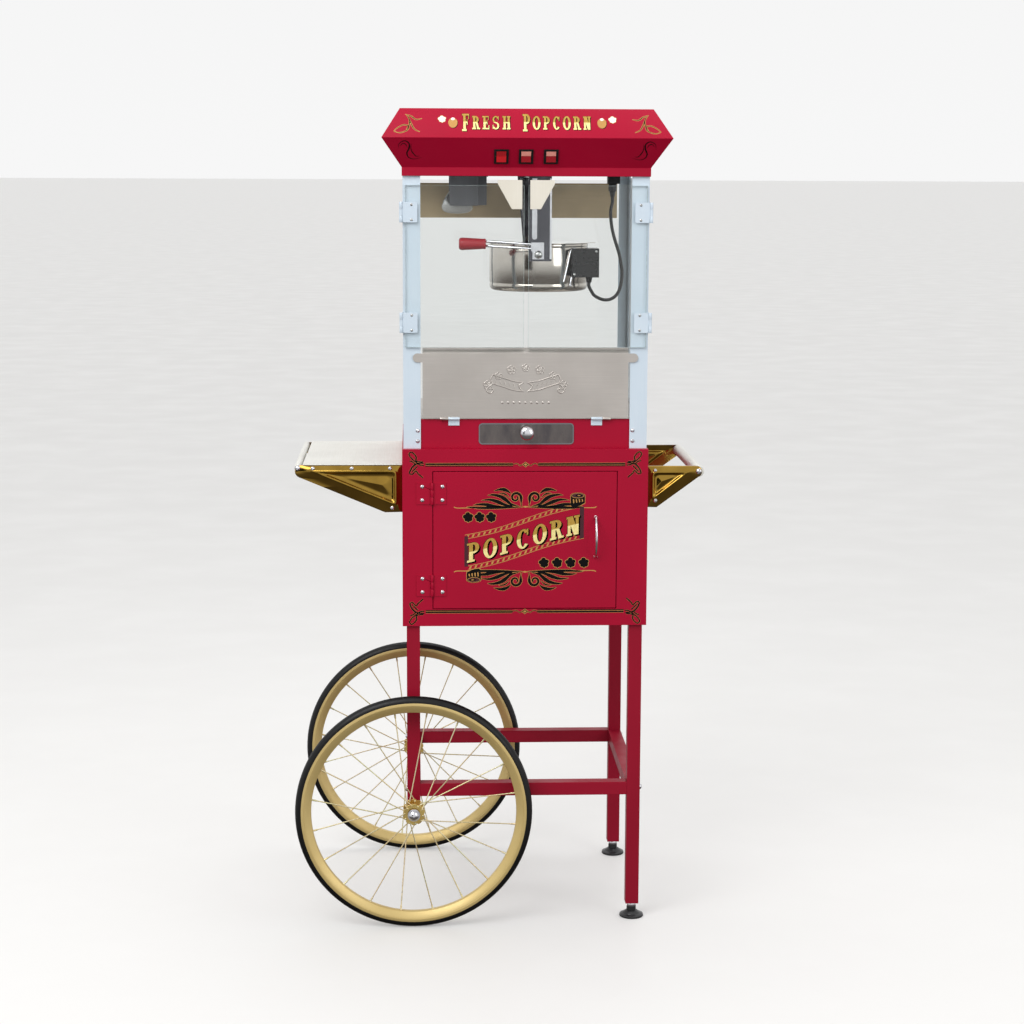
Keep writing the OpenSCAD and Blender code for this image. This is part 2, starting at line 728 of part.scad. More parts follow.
// the canopy's outline across one axis: its edges at each fold, drawn in by a wall thickness
function fold_line(lo, hi, wall) = concat(
    [for (k = [0 : 3]) [hi + fold_out[k] - wall, canopy_z[k]]],
    [for (k = [3 : -1 : 0]) [lo - fold_out[k] + wall, canopy_z[k]]]);

module canopy_form(wall) intersection() {
    drawn_y(lip_y[0] - 50, lip_y[1] + 50, fold_line(-lip_half, lip_half, wall));
    drawn_x(-lip_half - 50, lip_half + 50, fold_line(lip_y[0], lip_y[1], wall));
}

// the frame of one switch: Z straight out of the front slope, and Y up it
module on_slope(x) translate([x, lip_y[0] - canopy_out * switch_mid,
    canopy_z[1] + (canopy_z[2] - canopy_z[1]) * switch_mid]) rotate([slope_angle, 0, 0]) children();

module canopy_shell() color("crimson") in_place() difference() {
    canopy_form(0);
    intersection() {
        canopy_form(sheet);
        slab([-500, -200, post_top - 1], [500, 700, canopy_z[3] - sheet]);
    }
    slab([sheet - lip_half, lip_y[0] + sheet, post_top - 1],
        [lip_half - sheet, lip_y[1] - sheet, post_top + 2]);
    for (x = switch_x) on_slope(x) cube([switch_w - 4, switch_l - 4, 20], center = true);
}

module ceiling_plate() color("gray") in_place() difference() {
    slab([sheet - lip_half, lip_y[0] + sheet, post_top], [lip_half - sheet, lip_y[1] - sheet, ceiling_z]);
    rod_z(kettle_at[0], kettle_at[1], post_top - 1, ceiling_z + 1, ceiling_hole_r);
}

module switch_bezels() color("black") in_place() for (x = switch_x) on_slope(x) difference() {
    union() {
        translate([0, 0, 1]) cube([switch_w, switch_l, 2], center = true);
        translate([0, 0, -5.9]) cube([switch_w - 4.4, switch_l - 4.4, 11.8], center = true);
    }
    cube([rocker_w + 1, rocker_l + 2.4, 30], center = true);
    rod_x(-switch_w / 2 + 3.4, switch_w / 2 - 3.4, 0, -2.6, 1.2 + running);
}

// a rocker with a shallow V across its face, on a pin that turns in its bezel
module rocker(x) on_slope(x) {
    translate([0, 0, -2.6]) rotate([-rocker_tip, 0, 0]) {
        drawn_x(-rocker_w / 2, rocker_w / 2, [[-rocker_l / 2, -2.4], [rocker_l / 2, -2.4],
            [rocker_l / 2, 5.8], [0, 4.6], [-rocker_l / 2, 5.8]]);
        rod_x(-switch_w / 2 + 3.6, switch_w / 2 - 3.6, 0, 0, 1.2);
    }
}

module left_rocker() color("red") in_place() rocker(switch_x[0]);

module middle_rocker() color("red") in_place() rocker(switch_x[1]);

module right_rocker() color("red") in_place() rocker(switch_x[2]);

// ---- kettle, drive and lamp ----

module gear_motor() color("dimgray") in_place() difference() {
    union() {
        slab([kettle_at[0] - 45, kettle_at[1] - 35, ceiling_z],
            [kettle_at[0] + 45, kettle_at[1] + 35, ceiling_z + 40]);
        rod_z(kettle_at[0] + 12, kettle_at[1], ceiling_z + 39, ceiling_z + 98, 30);
    }
    rod_z(kettle_at[0], kettle_at[1], ceiling_z - 1, ceiling_z + 30, rod_r + running);
}

// the motor's output: a short shaft with a slotted crown that turns the stirrer's tongue
module drive_crown() color("silver") in_place() translate([kettle_at[0], kettle_at[1], 0]) difference() {
    union() {
        rod_z(0, 0, crown_z, crown_z + 13, crown_r);
        rod_z(0, 0, crown_z, ceiling_z + 28, rod_r);
    }
    slab([-crown_r - 1, -slot_half, crown_z - 1], [crown_r + 1, slot_half, crown_z + 9]);
}

module kettle_hanger() color("dimgray") in_place() {
    front = arm_y[0];
    back = arm_y[1];
    difference() {
        union() {
            slab([arm_x[0], front, post_top - hanger_t], [arm_x[1], back, post_top]);
            slab([arm_x[0], front, arm_end], [arm_x[1], front + arm_t, post_top]);
            drawn_y(back - arm_t, back, [[arm_x[0] + 2, arm_end], [arm_x[1] - 2, arm_end],
                [arm_x[1] + 8, post_top], [arm_x[0] - 12, post_top]]);
        }
        rod_z(kettle_at[0], kettle_at[1], post_top - 10, post_top + 1, hanger_hole_r);
        rod_y(pivot[0], front - 1, back + 1, pivot[1], trunnion_r + running);
    }
}

module kettle_pot() color("silver") in_place() {
    centre_y = kettle_at[1];
    difference() {
        union() {
            translate([kettle_at[0], centre_y, pot_z[0]]) rotate_extrude() polygon([
                [0, 0], [pot_r - 12, 0], [pot_r - 5, 2], [pot_r - 1, 7], [pot_r, 13],
                [pot_r, pot_h], [pot_r - pot_t, pot_h], [pot_r - pot_t, 13],
                [pot_r - pot_t - 2, 8], [pot_r - 12, 4], [0, 4]]);
            slab([kettle_at[0] - bridge_half, centre_y - pot_r + 2, pot_z[1]],
                [kettle_at[0] + bridge_half, centre_y + pot_r - 2, pot_z[1] + 3]);
            slab([kettle_at[0] - bridge_half, centre_y - pot_r + 0.9, pot_z[1] - 8],
                [kettle_at[0] + bridge_half, centre_y - pot_r + 4, pot_z[1] + 3]);
            slab([kettle_at[0] - bridge_half, centre_y + pot_r - 4, pot_z[1] - 8],
                [kettle_at[0] + bridge_half, centre_y + pot_r - 0.9, pot_z[1] + 3]);
            rod_z(kettle_at[0], centre_y, pot_z[1] - 3, pot_z[1] + 10, 9);
            for (side = [-1, 1]) lid_lugs(side);
            rod_y(pivot[0], arm_y[0] - 15, centre_y - pot_r + 1.5, pivot[1], trunnion_r);
            rod_y(pivot[0], arm_y[0] - 13, arm_y[0] - 9, pivot[1], 7.5);
            rod_y(pivot[0], arm_y[0] + arm_t + 1.5, centre_y - pot_r + 1, pivot[1], 12);
            rod_y(pivot[0], centre_y + pot_r - 1.5, arm_y[1] + 6, pivot[1], trunnion_r);
            rod_y(pivot[0], centre_y + pot_r - 1, arm_y[1] - arm_t - 1.5, pivot[1], 12);
        }
        rod_z(kettle_at[0], centre_y, pot_z[0] + 20, pot_z[1] + 20, rod_r + running);
    }
}

// the lugs beside one lid's barrel, with its pin
module lid_lugs(side) {
    x = kettle_at[0] + side * lid_pin_x;
    z = lid_z + lid_barrel_r;
    rod_y(x, kettle_at[1] - lid_half - 4, kettle_at[1] + lid_half + 4, z, lid_pin_r);
    for (end = [-1, 1]) {
        y = kettle_at[1] + end * (lid_half + 2.4);
        slab([min(x - side * 4, x + side * lid_barrel_r), y - 2, pot_z[1] + 1],
            [max(x - side * 4, x + side * lid_barrel_r), y + 2, z + lid_barrel_r]);
    }
}

module kettle_lid(side) translate([kettle_at[0], kettle_at[1], lid_z]) mirror([side < 0 ? 1 : 0, 0, 0])
    difference() {
        union() {
            intersection() {
                union() {
                    cylinder(h = thin, r = lid_r);
                    slab([90, -11, 0], [111, 11, thin]);
                }
                slab([lid_pin_x, -lid_r, -1], [120, lid_r, 3]);
            }
            rod_y(lid_pin_x, -lid_half, lid_half, lid_barrel_r, lid_barrel_r);
        }
        rod_y(lid_pin_x, -lid_half - 1, lid_half + 1, lid_barrel_r, lid_pin_r + running);
        for (end = [-1, 1]) slab([0, end * (lid_half + 2.4) - 2.6, -1],
            [lid_pin_x + lid_barrel_r + lug_room, end * (lid_half + 2.4) + 2.6, 3]);
    }

module left_kettle_lid() color("silver") in_place() kettle_lid(-1);

module right_kettle_lid() color("silver") in_place() kettle_lid(1);

// a rod up to the drive crown, and two arms that sweep the pot's floor
module stirrer() color("gainsboro") in_place() translate([kettle_at[0], kettle_at[1], 0]) {
    floor_z = pot_z[0] + 4.4;
    rod_z(0, 0, floor_z, crown_z - 3, rod_r);
    slab([-rod_r, -tongue_half, crown_z - 4], [rod_r, tongue_half, crown_z + 6]);
    for (side = [-1, 1]) rotate(35 + 90 * side) {
        slab([0, -1.5, floor_z], [pot_r - 18, 1.5, floor_z + 5]);
        slab([pot_r - 22, -1.5, floor_z], [pot_r - 18, 1.5, floor_z + 24]);
    }
}

// a plate on the pivot bolt, and two rods out to the grip
module kettle_handle() color("silver") in_place() {
    y = arm_y[0] - 6;
    difference() {
        drawn_y(y - 2.5, y + 2.5, [[pivot[0] - 11, pivot[1] - 9], [pivot[0] + 11, pivot[1] - 9],
            [pivot[0] + 11, pivot[1] + 23], [pivot[0] - 14, pivot[1] + 23], [pivot[0] - 14, pivot[1] + 8],
            [pivot[0] - 11, pivot[1] + 4]]);
        rod_y(pivot[0], y - 4, y + 4, pivot[1], trunnion_r + running);
    }
    strut([-73, y, 1318], [pivot[0] - 12, y, 1312.5], 2.4);
    strut([-73, y, 1309], [pivot[0] - 12, y, 1304], 2.4);
}

module kettle_grip() color("crimson") in_place() translate([-125, arm_y[0] - 6, 1313])
    rotate([0, 90, 0]) rotate_extrude() polygon([[0, 0], [9, 0], [11.5, 2], [12, 6], [9.6, 51.6], [0, 51.6]]);

module terminal_box() color("black") in_place() {
    difference() {
        slab([box_x[0], box_y[0], box_z[0]], [box_x[1], box_y[1], box_z[1]]);
        rod_z(kettle_at[0], kettle_at[1], box_z[0] - 1, box_z[1] + 1, pot_r + 0.1);
    }
    translate([lead_route[0][0], lead_route[0][1], lead_route[0][2]])
        cylinder(h = box_z[0] - lead_route[0][2] + 0.5, r1 = 4.6, r2 = 7);
}

// the direction of the route at one of its points
function route_way(k) = let (n = len(lead_route) - 1)
    let (d = lead_route[min(k + 1, n)] - lead_route[max(k - 1, 0)]) d / norm(d);

// one ring of the sweep, square to the route
function ring(k) = let (w = route_way(k), side = cross([0.36, -0.93, 0], w), u = side / norm(side),
    v = cross(w, u)) [for (a = [0 : 30 : 330]) lead_route[k] + lead_r * (cos(a) * u + sin(a) * v)];

module kettle_lead() color("black") in_place() {
    n = len(lead_route);
    polyhedron(
        points = [for (k = [0 : n - 1]) each ring(k)],
        faces = concat(
            [[for (s = [0 : 11]) s]],
            [for (k = [0 : n - 2], s = [0 : 11])
                [k * 12 + s, k * 12 + 12 + s, k * 12 + 12 + (s + 1) % 12, k * 12 + (s + 1) % 12]],
            [[for (s = [11 : -1 : 0]) (n - 1) * 12 + s]]),
        convexity = 4);
}

// the socket in the ceiling with the lead's plug in it, and the mains inlet in the base's back
module power_sockets() color("black") in_place() {
    end = lead_route[len(lead_route) - 1];
    slab([end[0] - 10, end[1] - 11, plug_z[1]], [end[0] + 14, end[1] + 11, post_top]);
    translate([end[0], end[1], plug_z[0]]) rotate_extrude() polygon([[0, 0], [4.4, 0], [6, 10], [8, 12],
        [8, plug_z[1] - plug_z[0]], [0, plug_z[1] - plug_z[0]]]);
    slab([-170, base_back, cab_top + 12], [-130, base_back + 2.6, cab_top + 42]);
    slab([-163.8, base_back - 20, cab_top + 16.2], [-136.2, base_back, cab_top + 37.8]);
}

module lamp_shield() color("gray") in_place() {
    slab([shield_x[0], shield_y[0], shield_z], [shield_x[1], shield_y[0] + thin, post_top]);
    slab([shield_x[0], shield_y[1] - thin, shield_z], [shield_x[1] + 20, shield_y[1], post_top]);
    slab([shield_x[0], shield_y[0], post_top - thin], [shield_x[1] + 20, shield_y[1], post_top]);
}

module lamp_bulb() color("white", 0.7) in_place() translate([lamp_at[0], lamp_at[1], post_top - 74])
    rotate_extrude() polygon([[0, 0], [lamp_r * 0.8, 3], [lamp_r, 10], [lamp_r * 0.97, 20],
        [lamp_r * 0.5, 44], [13.5, 50], [13.5, 72], [0, 72]]);

wheel_side_legs();
foot_side_legs();
lower_rails();
axle();
axle_hardware();
front_tyre();
front_rim();
front_spokes();
front_hub();
rear_tyre();
rear_rim();
rear_spokes();
rear_hub();
front_foot();
rear_foot();
cabinet_shell();
cabinet_front_frame();
cabinet_floor_and_top();
cabinet_door();
cabinet_door_leaves();
cabinet_frame_leaves();
door_pull();
hinge_pins();
side_shelf();
side_brackets();
cross_bars();
machine_screws();
base_shell();
deck_plate();
kernel_drawer();
drawer_knob();
corner_posts();
cabin_glass();
rear_header();
left_glass_door();
left_door_fittings();
right_glass_door();
right_door_fittings();
cabin_hinge_leaves();
serving_flap();
canopy_shell();
ceiling_plate();
gear_motor();
drive_crown();
kettle_hanger();
kettle_pot();
left_kettle_lid();
right_kettle_lid();
stirrer();
kettle_handle();
kettle_grip();
terminal_box();
kettle_lead();
power_sockets();
lamp_shield();
lamp_bulb();
switch_bezels();
left_rocker();
middle_rocker();
right_rocker();
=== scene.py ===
"""Popcorn cart: the looks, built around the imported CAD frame.

Places and sizes are in millimetres in the cart's own frame: x from the middle of the cabinet, y from
the cabinet's front face towards the back, and z up from the floor. at() turns them into the row frame.
"""
import math

import bmesh
import bpy
from mathutils import Matrix, Vector
from mathutils.geometry import intersect_line_line_2d


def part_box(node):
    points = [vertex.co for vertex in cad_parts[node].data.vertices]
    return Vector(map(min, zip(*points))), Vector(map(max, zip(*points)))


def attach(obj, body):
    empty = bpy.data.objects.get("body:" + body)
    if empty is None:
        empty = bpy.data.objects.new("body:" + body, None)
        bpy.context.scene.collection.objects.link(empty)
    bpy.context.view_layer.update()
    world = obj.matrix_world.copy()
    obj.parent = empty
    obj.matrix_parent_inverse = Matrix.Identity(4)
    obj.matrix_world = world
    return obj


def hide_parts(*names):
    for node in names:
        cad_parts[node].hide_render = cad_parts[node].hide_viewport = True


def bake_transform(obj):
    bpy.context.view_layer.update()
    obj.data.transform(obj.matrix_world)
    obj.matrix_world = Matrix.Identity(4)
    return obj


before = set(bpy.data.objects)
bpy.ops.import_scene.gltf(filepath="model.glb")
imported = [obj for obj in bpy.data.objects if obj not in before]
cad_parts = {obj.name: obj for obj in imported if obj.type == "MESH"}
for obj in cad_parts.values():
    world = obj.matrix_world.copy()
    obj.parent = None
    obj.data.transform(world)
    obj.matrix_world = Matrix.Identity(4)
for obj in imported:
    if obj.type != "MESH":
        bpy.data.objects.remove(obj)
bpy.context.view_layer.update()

MM = 0.001
shell_lo, shell_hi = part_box("cabinet_shell")
MIDDLE = (shell_lo.x + shell_hi.x) / 2
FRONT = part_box("cabinet_front_frame")[0].y


def at(x, y, z):
    """A point in cart millimetres, as a point in the row frame in metres."""
    return Vector((MIDDLE + x * MM, FRONT + y * MM, z * MM))


# ---- mesh building ----

class Face:
    """A flat face of the cart: u and v run along it and h stands out of it."""

    def __init__(self, origin, u, v):
        self.origin = Vector(origin)
        self.u = Vector(u).normalized()
        self.v = Vector(v).normalized()
        self.out = self.u.cross(self.v)

    def __call__(self, u, v, h=0.0):
        return self.origin + u * self.u + v * self.v + h * self.out


def smooth_line(points, steps=8):
    """A Catmull-Rom line through the points."""
    points = [Vector(p) for p in points]
    ends = [2 * points[0] - points[1]] + points + [2 * points[-1] - points[-2]]
    line = []
    for k in range(1, len(ends) - 2):
        a, b, c, d = ends[k - 1:k + 3]
        for s in range(steps):
            t = s / steps
            line.append(0.5 * (2 * b + (c - a) * t + (2 * a - 5 * b + 4 * c - d) * t * t
                               + (3 * b - a - 3 * c + d) * t ** 3))
    return line + [points[-1]]


def arc(cx, cy, rx, ry, start, end, steps=16):
    """Points along an ellipse's arc, with angles in degrees."""
    turn = [math.radians(start + (end - start) * k / steps) for k in range(steps + 1)]
    return [(cx + rx * math.cos(a), cy + ry * math.sin(a)) for a in turn]


def ring(centre, radius, side, other, steps):
    """Points round a centre, in the plane of two unit directions."""
    turn = [2 * math.pi * k / steps for k in range(steps)]
    return [centre + radius * (math.cos(a) * side + math.sin(a) * other) for a in turn]


def between(first, after, n):
    """The quads between two rings of n points, which start at first and at after."""
    return [[first + k, first + (k + 1) % n, after + (k + 1) % n, after + k] for k in range(n)]


class Shape:
    """Closed solids in cart millimetres that become one mesh."""

    def __init__(self):
        self.points = []
        self.faces = []
        self.tones = []

    def add(self, points, faces, tones=None):
        first = len(self.points)
        self.points += [Vector(p) for p in points]
        self.faces += [[first + i for i in face] for face in faces]
        self.tones += tones or [0.0] * len(points)

    def lathe(self, profile, origin, axis, steps=64, closed=False):
        """Turns (radius, distance along the axis) points; a closed profile meets its own start."""
        axis = Vector(axis).normalized()
        side = axis.orthogonal().normalized()
        other = axis.cross(side)
        points, rings = [], []
        for radius, along in profile:
            centre = Vector(origin) + along * axis
            if radius < 1e-6:
                rings.append([len(points)] * steps)
                points.append(centre)
                continue
            rings.append(list(range(len(points), len(points) + steps)))
            points += ring(centre, radius, side, other, steps)
        pairs = list(zip(rings, rings[1:])) + ([(rings[-1], rings[0])] if closed else [])
        faces = []
        for low, high in pairs:
            for k in range(steps):
                n = (k + 1) % steps
                face = [low[k], low[n], high[n], high[k]]
                faces.append(list(dict.fromkeys(face)))
        self.add(points, faces)

    def tube(self, route, radius, sides=12):
        """A round tube with flat ends along a line of points; radius may be one number or one each."""
        route = [Vector(p) for p in route]
        radii = radius if isinstance(radius, list) else [radius] * len(route)
        side = (route[1] - route[0]).orthogonal().normalized()
        points = []
        for k, centre in enumerate(route):
            way = (route[min(k + 1, len(route) - 1)] - route[max(k - 1, 0)]).normalized()
            side = (side - side.dot(way) * way).normalized()
            points += ring(centre, radii[k], side, way.cross(side), sides)
        last = (len(route) - 1) * sides
        faces = [list(range(sides))[::-1], [last + s for s in range(sides)]]
        for k in range(len(route) - 1):
            faces += between(k * sides, (k + 1) * sides, sides)
        self.add(points, faces)

    def slab(self, lo, hi):
        """A box between two corners."""
        points = [(x, y, z) for z in (lo[2], hi[2]) for y in (lo[1], hi[1]) for x in (lo[0], hi[0])]
        self.add(points, [[0, 2, 3, 1], [4, 5, 7, 6], [0, 1, 5, 4], [1, 3, 7, 5], [3, 2, 6, 7],
                          [2, 0, 4, 6]])

    def prism(self, face, outline, low, high, tone=None):
        """An outline on a face, from the height low to high; tone(u, v) is kept on each point."""
        n = len(outline)
        points = [face(u, v, h) for h in (low, high) for u, v in outline]
        faces = [list(range(n))[::-1], list(range(n, 2 * n))] + between(0, n, n)
        self.add(points, faces, tone and [tone(u, v) for u, v in outline] * 2)

    def stroke(self, face, line, width, low, high):
        """A painted line of changing width; width(t) is given t from 0 to 1 along the line."""
        n = len(line)
        points = []
        for k, (u, v) in enumerate(line):
            before, after = line[max(k - 1, 0)], line[min(k + 1, n - 1)]
            way = Vector((after[0] - before[0], after[1] - before[1])).normalized()
            half = max(width(k / (n - 1)), 0.12) / 2
            for h in (low, high):
                for side in (1, -1):
                    points.append(face(u - side * way.y * half, v + side * way.x * half, h))
        faces = [[0, 1, 3, 2], [4 * n - 4, 4 * n - 2, 4 * n - 1, 4 * n - 3]]
        for k in range(0, 4 * n - 4, 4):
            faces += [[k, k + 4, k + 5, k + 1], [k + 2, k + 3, k + 7, k + 6],
                      [k, k + 2, k + 6, k + 4], [k + 1, k + 5, k + 7, k + 3]]
        self.add(points, faces)

    def object(self, name, sharp=35):
        """The mesh object, in the row frame."""
        mesh = bpy.data.meshes.new(name)
        mesh.from_pydata([at(*p) for p in self.points], [], self.faces)
        work = bmesh.new()
        work.from_mesh(mesh)
        bmesh.ops.recalc_face_normals(work, faces=work.faces)
        work.to_mesh(mesh)
        work.free()
        if any(self.tones):
            tone = mesh.attributes.new("tone", "FLOAT", "POINT")
            tone.data.foreach_set("value", self.tones)
        mesh.shade_smooth()
        mesh.set_sharp_from_angle(angle=math.radians(sharp))
        made = bpy.data.objects.new(name, mesh)
        bpy.context.scene.collection.objects.link(made)
        return made


def soften(piece, width, segments=2, angle=32):
    """Rounds a piece's sharp edges; width in millimetres."""
    bevel = piece.modifiers.new("rounded_edges", "BEVEL")
    bevel.width = width * MM
    bevel.segments = segments
    bevel.limit_method = "ANGLE"
    bevel.angle_limit = math.radians(angle)
    bevel.miter_outer = "MITER_ARC"
    bevel.harden_normals = True


def piece(name, shape, look, body, slot, rounded=0.0, sharp=35, stands_for=()):
    """Makes a piece that rides on a body, with its material. The slot argument is not used."""
    made = shape.object(name, sharp)
    made.data.materials.append(look)
    if rounded:
        soften(made, rounded)
    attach(made, body)
    if stands_for:
        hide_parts(*stands_for)
    return made


def node_look(name, look, rounded=0.0, segments=2):
    """Gives a CAD node its material, and rounds its folded or cut edges."""
    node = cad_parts[name]
    for place in node.material_slots:
        place.link = "OBJECT"
        place.material = look
    if rounded:
        weld = node.modifiers.new("weld", "WELD")
        weld.merge_threshold = 1e-6
        flat = node.modifiers.new("flat_faces", "DECIMATE")
        flat.decimate_type = "DISSOLVE"
        flat.angle_limit = math.radians(1)
        soften(node, rounded, segments)


# ---- materials ----

def srgb(red, green, blue):
    """A colour of 0 to 255 as linear light, with alpha."""
    def linear(channel):
        c = channel / 255
        return c / 12.92 if c <= 0.04045 else ((c + 0.055) / 1.055) ** 2.4
    return (linear(red), linear(green), linear(blue), 1.0)


def add_node(tree, kind, **inputs):
    """A node whose inputs are given by name, each as a value or as the output that feeds it."""
    made = tree.nodes.new(kind)
    for name, value in inputs.items():
        socket = made.inputs[name.replace("_", " ")]
        if isinstance(value, bpy.types.NodeSocket):
            tree.links.new(value, socket)
        else:
            socket.default_value = value
    return made


class Look:
    """A node material on one Principled shader."""

    def __init__(self, name, colour, roughness, metallic=0.0, **sockets):
        self.material = bpy.data.materials.new(name)
        self.material.use_nodes = True
        self.tree = self.material.node_tree
        self.shader = self.tree.nodes["Principled BSDF"]
        self.colour = colour
        self.shader.inputs["Base Color"].default_value = colour
        self.shader.inputs["Roughness"].default_value = roughness
        self.shader.inputs["Metallic"].default_value = metallic
        for socket, value in sockets.items():
            self.shader.inputs[socket.replace("_", " ")].default_value = value
        self.bumps = None

    def node(self, kind, **inputs):
        return add_node(self.tree, kind, **inputs)

    def noise(self, size, detail=3.0, stretch=(1, 1, 1), rough=0.5):
        """Noise with features of about size millimetres, drawn out along the axes where stretch is small."""
        place = self.node("ShaderNodeTexCoord").outputs["Object"]
        mapped = self.node("ShaderNodeMapping", Vector=place, Scale=stretch).outputs["Vector"]
        return self.node("ShaderNodeTexNoise", Vector=mapped, Scale=1 / (size * MM), Detail=detail,
                         Roughness=rough).outputs["Fac"]

    def ranged(self, value, low, high, start=0.35, end=0.65):
        """A value from start to end, spread over low to high."""
        return self.node("ShaderNodeMapRange", Value=value, From_Min=start, From_Max=end, To_Min=low,
                         To_Max=high).outputs["Result"]

    def tint(self, share, colour):
        """Mixes another colour into the base by a share from a node."""
        mix = self.tree.nodes.new("ShaderNodeMix")
        mix.data_type = "RGBA"
        self.tree.links.new(share, mix.inputs["Factor"])
        base = self.shader.inputs["Base Color"]
        if base.links:
            self.tree.links.new(base.links[0].from_socket, mix.inputs["A"])
        else:
            mix.inputs["A"].default_value = self.colour
        mix.inputs["B"].default_value = colour
        self.tree.links.new(mix.outputs["Result"], base)
        return self

    def mottle(self, size, colour, most=0.5, **noise):
        return self.tint(self.ranged(self.noise(size, **noise), 0.0, most), colour)

    def rough(self, size, low, high, **noise):
        self.tree.links.new(self.ranged(self.noise(size, **noise), low, high),
                            self.shader.inputs["Roughness"])
        return self

    def bump(self, size, depth, **noise):
        """Relief of about depth millimetres; several calls add up."""
        made = self.node("ShaderNodeBump", Height=self.noise(size, **noise), Distance=depth * MM)
        if self.bumps:
            self.tree.links.new(self.bumps, made.inputs["Normal"])
        self.bumps = made.outputs["Normal"]
        self.tree.links.new(self.bumps, self.shader.inputs["Normal"])
        return self


def red_coat(name, colour, darker):
    look = Look(name, colour, 0.42, Specular_IOR_Level=0.16)
    look.mottle(180, darker, 0.45)
    look.rough(60, 0.36, 0.46)
    look.bump(1.3, 0.03, detail=2)
    return look.material


def brushed(name, colour, other, roughness, along, grain=0.02, metallic=1.0):
    """Sheet metal with its grain along one axis: 0, 1 or 2."""
    stretch = tuple(0.02 if axis == along else 1 for axis in range(3))
    look = Look(name, colour, roughness, metallic)
    look.mottle(90, other, 0.6)
    look.mottle(1.2, other, 0.35, stretch=stretch)
    look.rough(1.5, roughness * 0.85, roughness * 1.25, stretch=stretch)
    look.bump(0.9, grain, stretch=stretch)
    return look.material


def polished(name, colour, other, roughness, mottle=60):
    """Bright metal with faint wiping marks."""
    look = Look(name, colour, roughness, 1.0)
    look.mottle(mottle, other, 0.5)
    look.rough(25, roughness * 0.6, roughness * 1.6, stretch=(1, 1, 0.4))
    look.bump(14, 0.03)
    return look.material


def moulded(name, colour, other, low, high, grain=0.6, depth=0.03, **sockets):
    """Plastic or rubber with a fine moulded grain."""
    look = Look(name, colour, low, **sockets)
    look.mottle(30, other, 0.5)
    look.rough(8, low, high)
    look.bump(grain, depth)
    return look.material


ROCKER_FOLD_Z = 1478.2


def rocker_plastic_painted_light(name, lower, upper):
    """Glossy red plastic with painted light: above the fold across the rocker's face it takes the upper
    colour, a painted highlight where paler and a painted shade where darker.
    """
    look = Look(name, lower, 0.22, Coat_Weight=0.5)
    place = look.node("ShaderNodeTexCoord").outputs["Object"]
    height = look.node("ShaderNodeSeparateXYZ", Vector=place).outputs["Z"]
    low, high = (ROCKER_FOLD_Z - 0.9) * MM, (ROCKER_FOLD_Z + 0.9) * MM
    # painted light: the upper colour above the fold is a painted highlight on the off rockers and a painted
    # shade on the on rocker
    look.tint(look.ranged(height, 0.0, 1.0, low, high), upper)
    look.mottle(14, lower, 0.22)
    look.rough(12, 0.2, 0.28)
    look.bump(12, 0.01)
    return look.material


def clear_sheet():
    """Clear acrylic: what is behind shows straight through, and its surface reflects."""
    material = bpy.data.materials.new("clear_acrylic")
    material.use_nodes = True
    tree = material.node_tree
    tree.nodes.remove(tree.nodes["Principled BSDF"])
    through = add_node(tree, "ShaderNodeBsdfTransparent", Color=(0.988, 0.996, 0.994, 1))
    shine = add_node(tree, "ShaderNodeBsdfGlossy", Roughness=0.02)
    facing = add_node(tree, "ShaderNodeLayerWeight", Blend=0.5).outputs["Facing"]
    share = add_node(tree, "ShaderNodeMapRange", Value=facing, From_Min=0.45, To_Min=0.025, To_Max=0.55)
    mix = add_node(tree, "ShaderNodeMixShader", Fac=share.outputs["Result"])
    tree.links.new(through.outputs["BSDF"], mix.inputs[1])
    tree.links.new(shine.outputs["BSDF"], mix.inputs[2])
    tree.links.new(mix.outputs["Shader"], tree.nodes["Material Output"].inputs["Surface"])
    return material


def spoke_zinc():
    """Yellow zinc plate, which drifts between gold, green and rose along each spoke."""
    look = Look("spoke_zinc", srgb(226, 208, 150), 0.34, 0.45)
    look.mottle(45, srgb(206, 220, 186), 0.5)
    look.mottle(70, srgb(226, 192, 176), 0.4)
    look.rough(10, 0.18, 0.34)
    return look.material


def letter_gold():
    """Gold leaf: the upper half of each letter is darker, by the tone kept on its points."""
    look = Look("letter_gold", srgb(252, 236, 160), 0.4, 0.1)
    tone = look.node("ShaderNodeAttribute")
    tone.attribute_name = "tone"
    look.tint(look.ranged(tone.outputs["Fac"], 0.0, 1.0, 0.52, 0.56), srgb(176, 138, 48))
    look.mottle(5, srgb(206, 172, 84), 0.4)
    look.rough(4, 0.32, 0.5)
    return look.material


def drawer_gloss():
    """Smoked gloss with soft cloudy streaks."""
    look = Look("smoked_gloss", srgb(66, 60, 63), 0.16, 0.35, Coat_Weight=0.6, Coat_Roughness=0.05)
    look.mottle(34, srgb(120, 112, 104), 0.5, detail=6, stretch=(1, 1, 0.35), rough=0.7)
    look.rough(20, 0.1, 0.28)
    look.bump(40, 0.12)
    return look.material


